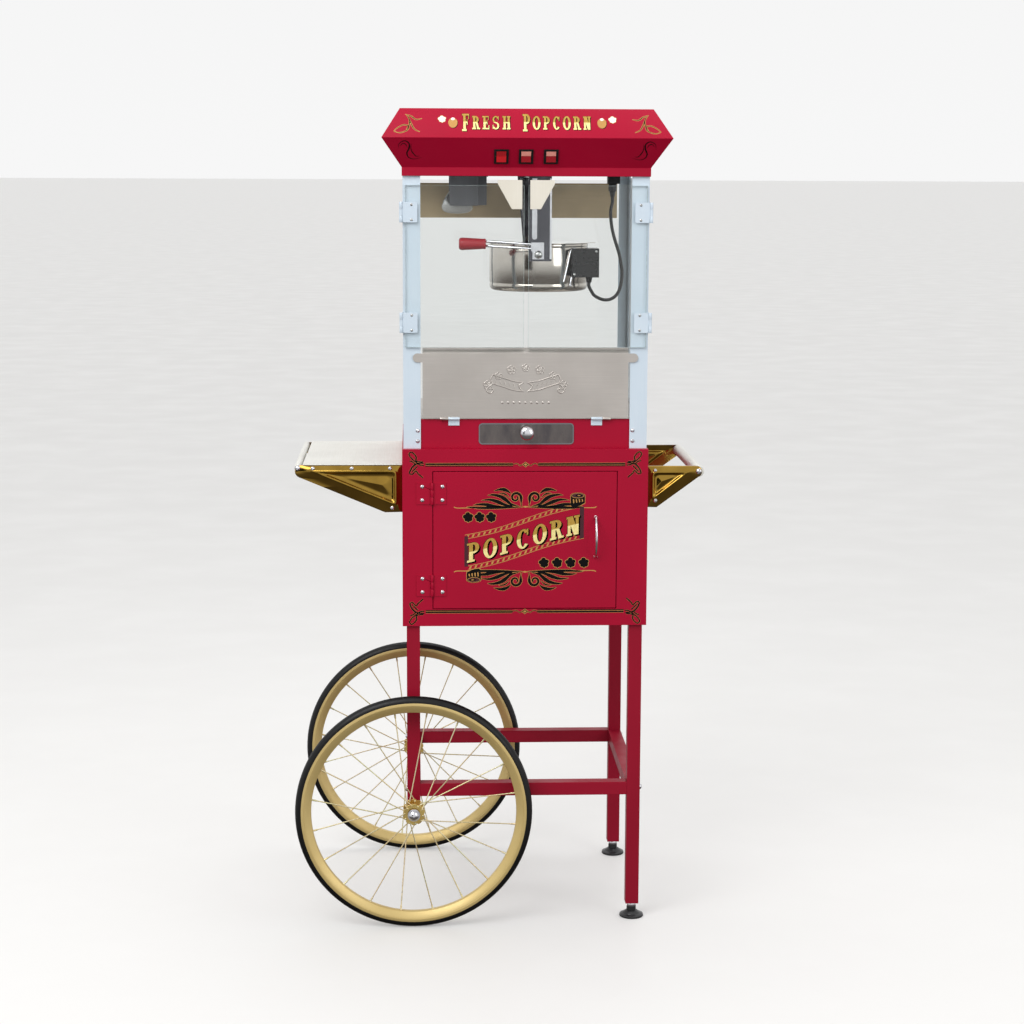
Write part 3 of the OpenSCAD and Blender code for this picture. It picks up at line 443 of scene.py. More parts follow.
RED = red_coat("red_powder_coat", srgb(168, 8, 46), srgb(154, 6, 41))
LEG_RED = red_coat("leg_powder_coat", srgb(150, 16, 42), srgb(130, 10, 34))
GOLD = brushed("rim_gold", srgb(214, 190, 128), srgb(198, 172, 110), 0.36, 1, 0.006, 0.35)
HUB_GOLD = polished("hub_gold", srgb(234, 206, 128), srgb(206, 172, 98), 0.26, 22)
BRASS = polished("bracket_brass", srgb(172, 138, 62), srgb(112, 84, 34), 0.09, 50)
SPOKE = spoke_zinc()
TYRE = moulded("tyre_rubber", srgb(9, 9, 10), srgb(17, 17, 18), 0.34, 0.46, 0.7, 0.03,
               Specular_IOR_Level=0.3)
CONE_GREY = moulded("cone_grey", srgb(40, 40, 42), srgb(30, 30, 32), 0.28, 0.4, 2, 0.03)
FOOT_RUBBER = moulded("foot_rubber", srgb(24, 24, 26), srgb(40, 40, 42), 0.5, 0.7)
CHROME = polished("chrome", srgb(226, 226, 230), srgb(190, 190, 196), 0.09, 20)
ZINC = polished("zinc_plate", srgb(206, 207, 205), srgb(172, 174, 176), 0.24, 18)
STAINLESS = brushed("flap_stainless", srgb(210, 204, 198), srgb(192, 186, 180), 0.36, 0, 0.006, 0.9)
SHELF_STEEL = brushed("shelf_stainless", srgb(228, 227, 220), srgb(214, 213, 206), 0.4, 1, 0.01, 0.45)
HEADER_STEEL = brushed("header_stainless", srgb(206, 184, 146), srgb(166, 148, 118), 0.4, 0, 0.01, 0.6)
POST_METAL = brushed("post_anodised", srgb(214, 227, 238), srgb(204, 219, 232), 0.38, 2, 0.006, 0.2)
CREAM = brushed("pull_plate_cream", srgb(236, 231, 218), srgb(224, 218, 203), 0.4, 2, 0.006, 0.2)
GREY_STEEL = brushed("grey_steel", srgb(128, 130, 134), srgb(112, 114, 120), 0.42, 2, 0.02, 0.6)
DARK_STEEL = polished("dark_polished_steel", srgb(92, 92, 98), srgb(66, 66, 72), 0.16, 40)
POT_STEEL = polished("pot_steel", srgb(204, 198, 190), srgb(168, 160, 150), 0.09, 50)
BLACK = moulded("black_plastic", srgb(16, 16, 17), srgb(30, 30, 31), 0.3, 0.45)
GLOSS_BLACK = moulded("gloss_black", srgb(12, 12, 13), srgb(24, 24, 25), 0.14, 0.3, 6, 0.05)
LEAD_RUBBER = moulded("lead_rubber", srgb(22, 22, 23), srgb(36, 36, 38), 0.4, 0.55)
# the upper colours are painted light: a painted shade on the on rocker, a painted highlight on the off
# rockers
ROCKER_ON = rocker_plastic_painted_light("rocker_on", srgb(200, 24, 34), srgb(178, 22, 32))
ROCKER_OFF = rocker_plastic_painted_light("rocker_off", srgb(158, 22, 34), srgb(255, 172, 156))
GRIP_RED = moulded("grip_red", srgb(176, 22, 40), srgb(150, 16, 32), 0.3, 0.42, 1.2, 0.05)
LAMP_GLASS = moulded("lamp_glass", srgb(206, 207, 204), srgb(198, 199, 196), 0.16, 0.24, 60, 0.02)
# pale tint for the pane edges, kept light as a painted highlight along them
PANE_EDGE_HIGHLIGHT = moulded("pane_edge", srgb(196, 212, 210), srgb(176, 194, 194), 0.2, 0.3, 20, 0.02,
                    Transmission_Weight=0.3)
CLEAR = clear_sheet()
PAINT_BLACK = moulded("decal_black", srgb(8, 6, 7), srgb(15, 12, 12), 0.4, 0.5, Specular_IOR_Level=0.12)
PAINT_GOLD = moulded("decal_gold", srgb(196, 146, 76), srgb(168, 118, 54), 0.34, 0.48)
PAINT_MAROON = moulded("decal_maroon", srgb(70, 10, 26), srgb(48, 8, 20), 0.34, 0.48)
PAINT_WHITE = moulded("decal_white", srgb(244, 240, 232), srgb(226, 218, 204), 0.34, 0.48)
LETTER = letter_gold()
SMOKED = drawer_gloss()


# ---- camera, lights and floor ----

def photo_camera():
    """The camera that the cart is seen by, given in the cart's frame."""
    yaw, pitch, roll = math.radians(-2.6), math.radians(8.68), math.radians(0.22)
    forward = Vector((-math.sin(yaw) * math.cos(pitch), math.cos(yaw) * math.cos(pitch),
                      -math.sin(pitch)))
    right = Vector((math.cos(yaw), math.sin(yaw), 0))
    up = right.cross(forward)
    rolled_right = right * math.cos(roll) + up * math.sin(roll)
    rolled_up = up * math.cos(roll) - right * math.sin(roll)
    data = bpy.data.cameras.new("photo_camera")
    data.sensor_width = 36
    data.lens = 77.23
    camera = bpy.data.objects.new("photo_camera", data)
    axes = Matrix((rolled_right, rolled_up, -forward)).transposed()
    camera.matrix_world = Matrix.Translation(at(-213.0, -4131.1, 1440.2)) @ axes.to_4x4()
    bpy.context.scene.collection.objects.link(camera)
    bpy.context.scene.camera = camera


def area_light(name, place, size, power):
    """A rectangular lamp that faces the middle of the cart."""
    target = Vector((0, 0, 0.9))
    data = bpy.data.lights.new(name, "AREA")
    data.shape = "RECTANGLE"
    data.size, data.size_y = size
    data.energy = power
    light = bpy.data.objects.new(name, data)
    light.location = Vector(place)
    light.rotation_euler = (target - Vector(place)).to_track_quat("-Z", "Y").to_euler()
    bpy.context.scene.collection.objects.link(light)


def card(name, corners, colour):
    """A flat staging card; only the floor is seen by the camera."""
    mesh = bpy.data.meshes.new(name)
    mesh.from_pydata(corners, [], [[0, 1, 2, 3]])
    made = bpy.data.objects.new(name, mesh)
    bpy.context.scene.collection.objects.link(made)
    look = Look(name, colour, 0.6)
    look.mottle(900, tuple(0.96 * c for c in colour[:3]) + (1,), 0.5)
    look.rough(300, 0.5, 0.7)
    mesh.materials.append(look.material)
    return made


def studio():
    """A pale floor under a pale sky, a large soft key light, and a dark card behind the camera."""
    world = bpy.data.worlds.new("studio")
    bpy.context.scene.world = world
    world.use_nodes = True
    tree = world.node_tree
    place = add_node(tree, "ShaderNodeTexCoord").outputs["Generated"]
    up = add_node(tree, "ShaderNodeSeparateXYZ", Vector=place).outputs["Z"]
    height = add_node(tree, "ShaderNodeMapRange", Value=up, From_Min=-1.0).outputs["Result"]
    ramp = add_node(tree, "ShaderNodeValToRGB", Fac=height)
    ramp.color_ramp.elements[0].position = 0.0
    ramp.color_ramp.elements[0].color = (0.10, 0.09, 0.085, 1)
    ramp.color_ramp.elements[1].position = 0.3
    ramp.color_ramp.elements[1].color = (0.17, 0.155, 0.145, 1)
    for position, grey in ((0.43, 0.72), (0.5, 0.93), (1.0, 0.8)):
        ramp.color_ramp.elements.new(position).color = (grey, grey, grey, 1)
    background = tree.nodes["Background"]
    tree.links.new(ramp.outputs["Color"], background.inputs["Color"])
    background.inputs["Strength"].default_value = 1.0
    area_light("key", (-1.7, -2.6, 3.4), (2.4, 2.4), 84)
    area_light("fill", (2.6, -2.8, 1.9), (1.4, 2.2), 22)
    area_light("over", (0.2, 0.6, 3.6), (2.4, 2.0), 30)
    bpy.context.scene.view_settings.view_transform = "Standard"
    reach = 1500.0
    floor = card("pale_floor", [(-reach, -reach, 0), (reach, -reach, 0), (reach, reach, 0),
                                (-reach, reach, 0)], srgb(196, 195, 193))
    sheen = floor.data.materials[0].node_tree.nodes["Principled BSDF"]
    sheen.inputs["Emission Color"].default_value = (1, 1, 1, 1)
    sheen.inputs["Emission Strength"].default_value = 0.25
    floor.visible_diffuse = False
    floor.visible_glossy = False
    flag = card("dark_card", [(-3.2, -4.6, 0), (-1.5, -5.2, 0), (-1.5, -5.2, 2.3), (-3.2, -4.6, 2.3)],
                srgb(46, 42, 40))
    flag.visible_camera = False


photo_camera()
studio()


# ---- the kettle's lead ----

LEAD_RADIUS = 3.2
LEAD_ROUTE = [
    (128, 131, 1238), (128, 131, 1231), (132, 133, 1223), (138, 137, 1214), (147, 142, 1208),
    (158, 147, 1204), (169, 152, 1204), (179, 157, 1208), (187, 162, 1216), (192, 166, 1227),
    (195, 170, 1241), (196, 174, 1257), (194, 178, 1274), (191, 182, 1291), (186, 186, 1308),
    (181, 190, 1325), (177, 193, 1343), (175, 196, 1361), (175, 198, 1377), (178, 200, 1391),
    (178, 200, 1402)]


def kettle_lead():
    shape = Shape()
    line = smooth_line(LEAD_ROUTE, 4)
    shape.tube(line, LEAD_RADIUS, 16)
    lead = shape.object("kettle_lead_cord")
    lead.data.materials.append(LEAD_RUBBER)
    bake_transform(lead)
    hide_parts("kettle_lead")


kettle_lead()


# ---- wheels and feet ----

LEG_X = 213.7
LEG_Y = (18.7, 425.3)
WHEEL_Y = {"front": -27, "rear": 473}
WHEEL_R = 228.6
RIM_R = 217.2
SPOKES = 20
SPOKE_TURN = 7.5
HUB_HALF = 22
FLANGE_AT = 17
FLANGE_R = 21
FLANGE_STEPS = 120


def tyre_shape(centre):
    """A round rubber tread with two grooves, and a foot that sits in the rim."""
    middle, half = WHEEL_R - 11.6, 11.5
    tread = []
    for k in range(41):
        a = math.radians(-89 + 178 * k / 40)
        radius, along = middle + half * math.cos(a), half * math.sin(a)
        tread.append((radius - (0.6 if 2.4 < abs(along) < 3.8 else 0.0), along))
    foot = [(RIM_R + 0.1, 9.8), (RIM_R - 8.6, 9.4), (RIM_R - 8.6, -9.4), (RIM_R + 0.1, -9.8)]
    shape = Shape()
    shape.lathe(tread + foot, centre, (0, 1, 0), 128, closed=True)
    return shape


def rim_shape(centre):
    """A rolled steel rim: beaded edges, stepped side walls and a shallow bed."""
    half = 12
    wall = [(RIM_R - 0.1, half - 0.4), (RIM_R - 1.2, half), (RIM_R - 5.4, half),
            (RIM_R - 6.2, half - 1.1), (RIM_R - 7.4, half - 1.2), (RIM_R - 8.4, half - 2.0),
            (RIM_R - 12.4, 9.2), (RIM_R - 13.6, 7.8), (RIM_R - 18.4, 6.6), (RIM_R - 19.6, 5.0)]
    inside = [(RIM_R - 9, half - 3.4), (RIM_R - 6, half - 2.0), (RIM_R - 0.6, half - 1.8)]
    shape = Shape()
    profile = wall + [(r, -a) for r, a in wall[::-1]] + [(r, -a) for r, a in inside[::-1]] + inside
    shape.lathe(profile, centre, (0, 1, 0), 128, closed=True)
    return shape


def hub_shape(centre):
    """A turned barrel between two scalloped flanges."""
    shape = Shape()
    barrel = [(6.45, -HUB_HALF), (9.4, -HUB_HALF), (10, -HUB_HALF + 0.6), (10, -FLANGE_AT - 1.4),
              (10, -FLANGE_AT + 2), (8.8, -FLANGE_AT + 5), (8, -6), (8, 6), (8.8, FLANGE_AT - 5),
              (10, FLANGE_AT - 2), (10, FLANGE_AT + 1.4), (10, HUB_HALF - 0.6), (9.4, HUB_HALF),
              (6.45, HUB_HALF)]
    shape.lathe(barrel, centre, (0, 1, 0), 64, closed=True)
    for side in (-1, 1):
        rows = []
        for inset, height in ((13.5, -1.5), (0.5, -1.5), (0, -1), (0, 1), (0.5, 1.5), (4, 1.5),
                              (5, 0.9), (8, 0.9), (9, 1.7), (13.5, 1.7)):
            row = []
            for k in range(FLANGE_STEPS):
                a = 2 * math.pi * k / FLANGE_STEPS
                notch = 2.2 * max(0, math.cos(10 * a)) ** 3 if inset < 1 else 0.0
                radius = max(FLANGE_R - inset, 7.5) - notch
                row.append((centre[0] + radius * math.cos(a), centre[1] + side * FLANGE_AT + height,
                            centre[2] + radius * math.sin(a)))
            rows.append(row)
        points = [p for row in rows for p in row]
        faces = []
        for r in range(len(rows)):
            after = (r + 1) % len(rows)
            faces += between(r * FLANGE_STEPS, after * FLANGE_STEPS, FLANGE_STEPS)
        shape.add(points, faces)
    return shape


def spokes_shape(centre):
    """Laced spokes: a head and an elbow at the flange, and a nipple at the rim."""
    shape = Shape()
    nipples = Shape()

    def place(radius, angle, along):
        a = math.radians(angle)
        return Vector((centre[0] + radius * math.cos(a), centre[1] + along,
                       centre[2] - radius * math.sin(a)))

    for side in (-1, 1):
        for k in range(SPOKES // 2):
            lean = 1 if k % 2 == 0 else -1
            rim_angle = SPOKE_TURN + (2 * k + (side + 1) / 2) * 360 / SPOKES
            hub_angle = rim_angle + 35 * lean
            outer = side * (FLANGE_AT + 1.9 * lean)
            inner = side * (FLANGE_AT - 2.6 * lean)
            head = place(17.5, hub_angle, inner)
            elbow = place(17.7, hub_angle, outer - side * lean * 0.3)
            seat = place(RIM_R - 18, rim_angle, 0)
            start = elbow + (seat - elbow).normalized() * 1.5
            shape.tube(smooth_line([head, elbow, start], 3) + [seat], 1.12, 10)
            shape.lathe([(0, -0.9), (1.5, -0.7), (1.9, 0), (1.9, 0.4), (0, 0.5)], head,
                        (0, side * lean, 0), 12)
            way = (start - seat).normalized()
            nipples.lathe([(0, -1), (2.4, -1), (2.4, 1.2), (1.75, 2.2), (1.75, 9.5), (1.3, 11), (0, 11)],
                          seat, way, 12)
    return shape, nipples


def wheel(end):
    centre = (-LEG_X, WHEEL_Y[end], WHEEL_R)
    body = end + "_wheel"
    piece(end + "_tyre_tread", tyre_shape(centre), TYRE, body, "tyre_rubber", sharp=50,
          stands_for=[end + "_tyre"])
    piece(end + "_rolled_rim", rim_shape(centre), GOLD, body, "gold_paint", sharp=40,
          stands_for=[end + "_rim"])
    piece(end + "_turned_hub", hub_shape(centre), HUB_GOLD, body, "gold_paint",
          stands_for=[end + "_hub"])
    wires, nipples = spokes_shape(centre)
    piece(end + "_laced_spokes", wires, SPOKE, body, "spoke_wire", sharp=60,
          stands_for=[end + "_spokes"])
    piece(end + "_spoke_nipples", nipples, SPOKE, body, "spoke_wire")


def foot(end):
    """A rubber pad under a ribbed plastic cone, a black hex nut, and a chrome collar on the stem."""
    x, y = LEG_X, LEG_Y[0] if end == "front" else LEG_Y[1]
    pad, cone, nut, steel = (Shape() for _ in range(4))
    pad.lathe([(0, 0), (21.5, 0), (22.6, 0.5), (23.5, 1.6), (23.5, 3.0), (23.1, 3.4), (0, 3.4)],
              (x, y, 0), (0, 0, 1), 64)
    piece(end + "_foot_pad", pad, FOOT_RUBBER, end + "_foot", "foot_rubber",
          stands_for=[end + "_foot"])
    cone.lathe([(0, 3.2), (23.0, 3.2), (23.4, 3.7), (22.9, 5.4), (21.6, 6.0), (17.4, 7.6), (16.8, 8.6),
                (13.2, 10.4), (12.4, 11.6), (10.8, 12.3), (0, 12.3)], (x, y, 0), (0, 0, 1), 64)
    piece(end + "_foot_cone", cone, CONE_GREY, end + "_foot", "foot_rubber")
    corners = [(x + 10 * math.cos(math.radians(60 * k + 15)), y + 10 * math.sin(math.radians(60 * k + 15)))
               for k in range(6)]
    nut.prism(Face((0, 0, 0), (1, 0, 0), (0, 1, 0)), corners, 12.2, 21.4)
    piece(end + "_foot_nut", nut, BLACK, end + "_foot", "foot_rubber", rounded=0.8)
    thread = [(0, 21), (8.2, 21.2), (8.6, 22), (8.6, 27.2), (8.0, 28.2), (5, 28.3)]
    for turn in range(17):
        thread += [(4.3, 28.4 + 1.5 * turn), (4.95, 29.15 + 1.5 * turn)]
    steel.lathe(thread + [(4.3, 54.5), (3.6, 56.5), (0, 56.8)], (x, y, 0), (0, 0, 1), 32)
    piece(end + "_foot_stem", steel, CHROME, end + "_foot", "zinc")


for end in ("front", "rear"):
    wheel(end)
    foot(end)

node_look("axle", ZINC)
node_look("axle_hardware", CHROME)
node_look("wheel_side_legs", LEG_RED, 2.2, 3)
node_look("foot_side_legs", LEG_RED, 2.2, 3)
node_look("lower_rails", LEG_RED, 2.2, 3)


# ---- screws ----

def pan_head(shape, seat, out, radius, height, turn=0.0, shank=0.0):
    """A domed screw head with a cross recess, standing on seat and facing out."""
    out = Vector(out).normalized()
    side = out.orthogonal().normalized()
    other = out.cross(side)
    side, other = (side * math.cos(turn) + other * math.sin(turn),
                   other * math.cos(turn) - side * math.sin(turn))
    rings, steps = 9, 32
    arm, width = 0.58 * radius, 0.16 * radius
    points = [Vector(seat) + out * (height - 0.55 * height)]
    for r in range(1, rings + 1):
        share = r / rings
        for k in range(steps):
            a = 2 * math.pi * k / steps
            u, v = share * radius * math.cos(a), share * radius * math.sin(a)
            rise = height * (1 - 0.78 * share ** 2.4)
            cross = min(abs(u), abs(v)) < width and max(abs(u), abs(v)) < arm
            recess = 0.5 * height if cross else 0
            points.append(Vector(seat) + u * side + v * other + out * (rise - recess))
    base = len(points)
    points += ring(Vector(seat), radius, side, other, steps)
    faces = [[0, 1 + k, 1 + (k + 1) % steps] for k in range(steps)]
    for r in range(rings):
        first, after = 1 + r * steps, 1 + (r + 1) * steps
        faces += [[first + k, after + k, after + (k + 1) % steps, first + (k + 1) % steps]
                  for k in range(steps)]
    faces.append([base + k for k in range(steps)][::-1])
    shape.add(points, faces)
    if shank:
        shape.lathe([(0, -shank), (radius * 0.5, -shank), (radius * 0.5, 0.1), (0, 0.1)], seat, out, 24)


POST_SCREW_Z = (943.5, 963.5)
POST_FRONT, POST_BACK = 14, 400
RAIL_Z = 262.7
SHELF_BAR = (-432.5, 891.4)
HANDLE_BAR = (334.5, 882.5)
SHELF_Y = (22, 395)
HANDLE_Y = (27, 369)


def machine_screws():
    shape = Shape()
    for side in (-1, 1):
        for k, z in enumerate(POST_SCREW_Z):
            pan_head(shape, (side * 204.5, POST_FRONT, z), (0, -1, 0), 4, 2.6, 0.4 + k + side, 7)
            pan_head(shape, (side * 217.5, POST_BACK, z), (0, 1, 0), 4, 2.6, 0.9 + k + side, 7)
        for y in LEG_Y:
            pan_head(shape, (side * (LEG_X + 12.7), y, RAIL_Z), (side, 0, 0), 5.8, 5.4, 0.3 + side, 37)
    for (x, z), ys, radius in ((SHELF_BAR, SHELF_Y, 5), (HANDLE_BAR, HANDLE_Y, 5.6)):
        pan_head(shape, (x, ys[0], z), (0, -1, 0), radius, 3.4, 0.5, 1.5)
        pan_head(shape, (x, ys[1], z), (0, 1, 0), radius, 3.4, 0.8, 1.5)
    piece("cross_head_screws", shape, CHROME, "cart", "zinc", stands_for=["machine_screws"])


machine_screws()


# ---- cabinet ----

node_look("cabinet_shell", RED, 1.1, 3)
node_look("cabinet_front_frame", RED, 0.5)
node_look("cabinet_floor_and_top", RED)
node_look("cabinet_door", RED, 1.0, 3)
node_look("cabinet_frame_leaves", RED, 0.35)
node_look("cabinet_door_leaves", RED, 0.35)
node_look("hinge_pins", ZINC)

HINGE_PIN_X = -177.5
HINGE_SCREW_Z = (832, 858, 654.5, 680.5)


def hinge_screws():
    for name, body, x in (("frame_leaf_screws", "cart", HINGE_PIN_X - 18.5),
                          ("door_leaf_screws", "cabinet_door", HINGE_PIN_X + 19.5)):
        shape = Shape()
        for k, z in enumerate(HINGE_SCREW_Z):
            pan_head(shape, (x, -1.42, z), (0, -1, 0), 3.6, 2.0, 0.7 * k + 0.2)
        piece(name, shape, CHROME, body, "zinc")


def door_pull():
    """A bow of round wire that thickens a little where it meets its two washers."""
    shape = Shape()
    x, rise, low, high = 135, 22, 721, 799
    chord = (high - low) / 2
    bow = (chord ** 2 + rise ** 2) / (2 * rise)
    reach = math.degrees(math.asin(chord / bow))
    line = [(x, y, z) for y, z in arc(bow - rise, (low + high) / 2, bow, bow, 180 - reach, 180 + reach, 28)]
    shape.tube(line, [2.3 + 0.9 * abs(2 * k / 28 - 1) ** 8 for k in range(29)], 16)
    for z in (low + 0.6, high - 0.6):
        shape.lathe([(0, -0.05), (3.3, 0), (3.4, 0.4), (2.6, 0.9), (0, 1)], (x, 0, z), (0, -1, 0), 32)
    piece("bow_pull", shape, CHROME, "cabinet_door", "chrome", stands_for=["door_pull"])


hinge_screws()
door_pull()


# ---- brackets, shelf and push handle ----

def ray_reach(outline, centre, way):
    """How far an outline is from the centre in one direction."""
    far = (centre[0] + way.x * 999, centre[1] + way.y * 999)
    best = 0.0
    for a, b in zip(outline, outline[1:] + outline[:1]):
        hit = intersect_line_line_2d(centre, far, a, b)
        if hit is not None:
            best = max(best, (hit - Vector(centre)).length)
    return best


def spread_points(outline, count):
    """The outline's own corners, and evenly spread points between them."""
    lengths = [(Vector(b) - Vector(a)).length for a, b in zip(outline, outline[1:] + outline[:1])]
    total = sum(lengths)
    points = []
    for a, b, length in zip(outline, outline[1:] + outline[:1], lengths):
        n = max(1, round(count * length / total))
        points += [Vector(a).lerp(Vector(b), k / n) for k in range(n)]
    return points


def stamped_bracket(shape, side, y, out, reach, top, height, foot_width, tip_radius):
    """A pressed bracket: a folded rim, a raised triangular bead and a dished panel inside it.

    side is the way it points along x from the cabinet, and out the way its face looks along y.
    """
    tip = reach - tip_radius
    drop = height - 0.02 * foot_width
    outline = ([(0.0, 0.0), (0.0, -drop), (foot_width, -height)]
               + arc(tip - 1.0, -tip_radius, tip_radius, tip_radius, -66, 84, 10) + [(tip * 0.5, 0.0)])
    corner = [(9.0, -9.0), (9.0, -height + 10.0), (tip - 9.0, -9.0)]
    sides = [(Vector(corner[(k + 1) % 3]) - Vector(corner[(k + 2) % 3])).length for k in range(3)]
    total = sum(sides)
    centre = tuple(sum(sides[k] * corner[k][axis] for k in range(3)) / total for axis in range(2))
    inner_radius = abs((corner[1][0] - corner[0][0]) * (corner[2][1] - corner[0][1])
                       - (corner[2][0] - corner[0][0]) * (corner[1][1] - corner[0][1])) / total
    around = spread_points(outline, 120)
    ways = [(p - Vector(centre)).normalized() for p in around]

    def triangle_ring(inset):
        scale = max(0.04, 1 - inset / inner_radius)
        points = [Vector(centre) + (Vector(c) - Vector(centre)) * scale for c in corner]
        rounded = []
        for k in range(3):
            a, b, c = points[k - 1], points[k], points[(k + 1) % 3]
            cut = min(8.0, 0.3 * (b - a).length, 0.3 * (c - b).length)
            before, after = b + (a - b).normalized() * cut, b + (c - b).normalized() * cut
            for s in range(5):
                t = s / 4
                rounded.append(tuple((1 - t) ** 2 * before + 2 * t * (1 - t) * b + t * t * after))
        return [Vector(centre) + w * ray_reach(rounded, centre, w) for w in ways]

    def rim_ring(inset):
        return [p - w * min(inset, 3) for p, w in zip(around, ways)]

    rings = [(rim_ring(0.9), -6.0), (rim_ring(0.1), -6.0), (rim_ring(0), -1.6), (rim_ring(0.4), -0.5),
             (rim_ring(1.4), 0.0)]
    for inset, rise in ((0, 0.0), (1.2, 0.9), (2.6, 1.9), (4.0, 1.9), (5.4, 0.7), (7.0, -2.2),
                        (8.4, -3.2), (0.55 * inner_radius, -2.6), (0.78 * inner_radius, -0.4),
                        (0.95 * inner_radius, 0.6)):
        rings.append((triangle_ring(inset), rise))

    def place(p, rise):
        return (side * (234 + p[0]), y + out * rise, top + p[1])

    front = [place(p, rise) for ring, rise in rings for p in ring]
    back = [place(p, rise - 1.1) for ring, rise in rings[3:] for p in ring]
    n = len(around)
    shape_points = front + [place(centre, 0.8)] + back + [place(centre, -0.3)]
    faces = []
    for r in range(len(rings) - 1):
        faces += between(r * n, (r + 1) * n, n)
    hub = len(front)
    last = (len(rings) - 1) * n
    faces += [[last + k, last + (k + 1) % n, hub] for k in range(n)]
    start = hub + 1
    for r in range(len(rings) - 4):
        faces += [[start + r * n + k, start + (r + 1) * n + k, start + (r + 1) * n + (k + 1) % n,
                   start + r * n + (k + 1) % n] for k in range(n)]
    last = start + (len(rings) - 4) * n
    faces += [[last + k, len(shape_points) - 1, last + (k + 1) % n] for k in range(n)]
    faces += between(start, 0, n)
    shape.add(shape_points, faces)


def brackets():
    shape = Shape()
    for y, out in zip(SHELF_Y, (-1, 1)):
        stamped_bracket(shape, -1, y, out, 205, 896.4, 91, 33, 12)
    for y, out in zip(HANDLE_Y, (-1, 1)):
        stamped_bracket(shape, 1, y, out, 108, 893, 80, 20, 11)
    piece("stamped_brackets", shape, BRASS, "cart", "brass_plate", sharp=50,
          stands_for=["side_brackets"])
    bolts = Shape()
    for y, out in zip(SHELF_Y, (-1, 1)):
        for x, z in ((-404, 890), (-330, 890), (-257, 890), (-253, 814)):
            pan_head(bolts, (x, y, z), (0, out, 0), 3.8, 2.2, x * 0.1)
    for y, out in zip(HANDLE_Y, (-1, 1)):
        for x, z in ((251, 826), (250, 884)):
            pan_head(bolts, (x, y, z), (0, out, 0), 3.8, 2.2, x * 0.1)
    piece("bracket_screws", bolts, CHROME, "cart", "chrome")


brackets()
node_look("side_shelf", SHELF_STEEL, 0.5)
node_look("cross_bars", SHELF_STEEL, 0.8)


# ---- popper base, drawer and flap ----

node_look("base_shell", RED, 0.7, 3)
node_look("deck_plate", STAINLESS, 0.3)
node_look("corner_posts", POST_METAL, 0.6)
node_look("serving_flap", STAINLESS, 0.4)
node_look("cabin_hinge_leaves", POST_METAL, 0.25)

DRAWER_X = 2
DRAWER_FRONT = (181, 40.6)
DRAWER_Z = (936.6, 977.2)
BASE_FRONT = 17.1


def rounded_outline(width, height, radius, cu=0.0, cv=0.0):
    points = []
    for su, sv, start in ((1, 1, 0), (-1, 1, 90), (-1, -1, 180), (1, -1, 270)):
        points += arc(cu + su * (width / 2 - radius), cv + sv * (height / 2 - radius), radius, radius,
                      start, start + 90, 6)
    return points


def kernel_drawer():
    """A folded steel tray behind a smoked front in a thin bright frame."""
    tray = Shape()
    lo, hi = (-79.5, BASE_FRONT - 1, 939.6), (83.5, 273.1, 972.2)
    wall = 1.0
    tray.slab(lo, (hi[0], hi[1], lo[2] + wall))
    tray.slab((lo[0], lo[1], lo[2] + wall), (lo[0] + wall, hi[1], hi[2]))
    tray.slab((hi[0] - wall, lo[1], lo[2] + wall), hi)
    for y in (lo[1], hi[1] - wall):
        tray.slab((lo[0] + wall, y, lo[2] + wall), (hi[0] - wall, y + wall, hi[2]))
    piece("drawer_tray", tray, STAINLESS, "kernel_drawer", "stainless", rounded=0.3,
          stands_for=["kernel_drawer"])
    middle = (DRAWER_Z[0] + DRAWER_Z[1]) / 2
    face = Face((DRAWER_X, BASE_FRONT - 0.4, middle), (1, 0, 0), (0, 0, 1))
    width, height = DRAWER_FRONT
    panel = Shape()
    panel.prism(face, rounded_outline(width - 1, height - 1, 6.5), 0, 1.2)
    piece("drawer_front", panel, SMOKED, "kernel_drawer", "dark_steel", rounded=0.5)
    rim = Shape()
    outer, inner = rounded_outline(width, height, 7), rounded_outline(width - 4.4, height - 4.4, 5)
    n = len(outer)
    points = [face(u, v, h) for line, h in ((outer, 0), (outer, 1.3), (inner, 1.3), (inner, 0.6))
              for u, v in line]
    rim.add(points, [quad for r in range(4) for quad in between(r * n, (r + 1) % 4 * n, n)])
    piece("drawer_rim", rim, GREY_STEEL, "kernel_drawer", "dark_steel")
    knob = Shape()
    knob.lathe([(0, 0), (8.6, 0), (9, 0.5), (8.6, 1.4), (5.6, 2.6), (4.8, 5), (5, 8), (9, 11.2),
                (12.2, 14.2), (13.4, 17.4), (12.8, 20.6), (9.8, 23.2), (5.4, 24.6), (0, 24.9)],
               (2.4, BASE_FRONT - 1.7, 959.7), (0, -1, 0), 64)
    piece("turned_knob", knob, CHROME, "kernel_drawer", "chrome", sharp=60, stands_for=["drawer_knob"])


kernel_drawer()


# ---- glass doors, cabin glass and their fittings ----

for node in ("cabin_glass", "left_glass_door", "right_glass_door"):
    node_look(node, CLEAR)
node_look("rear_header", HEADER_STEEL, 0.3)

GLASS_PIN = (235, 8)
GLASS_HINGE_Z = (1149, 1355)
GLASS_HINGE_H = 38
PANE_FRONT = 9
PANE_TOP = 1424


def knuckle_profile(low, high, radius):
    return [(0, low), (radius - 0.3, low), (radius, low + 0.3), (radius, high - 0.3),
            (radius - 0.3, high), (0, high)]


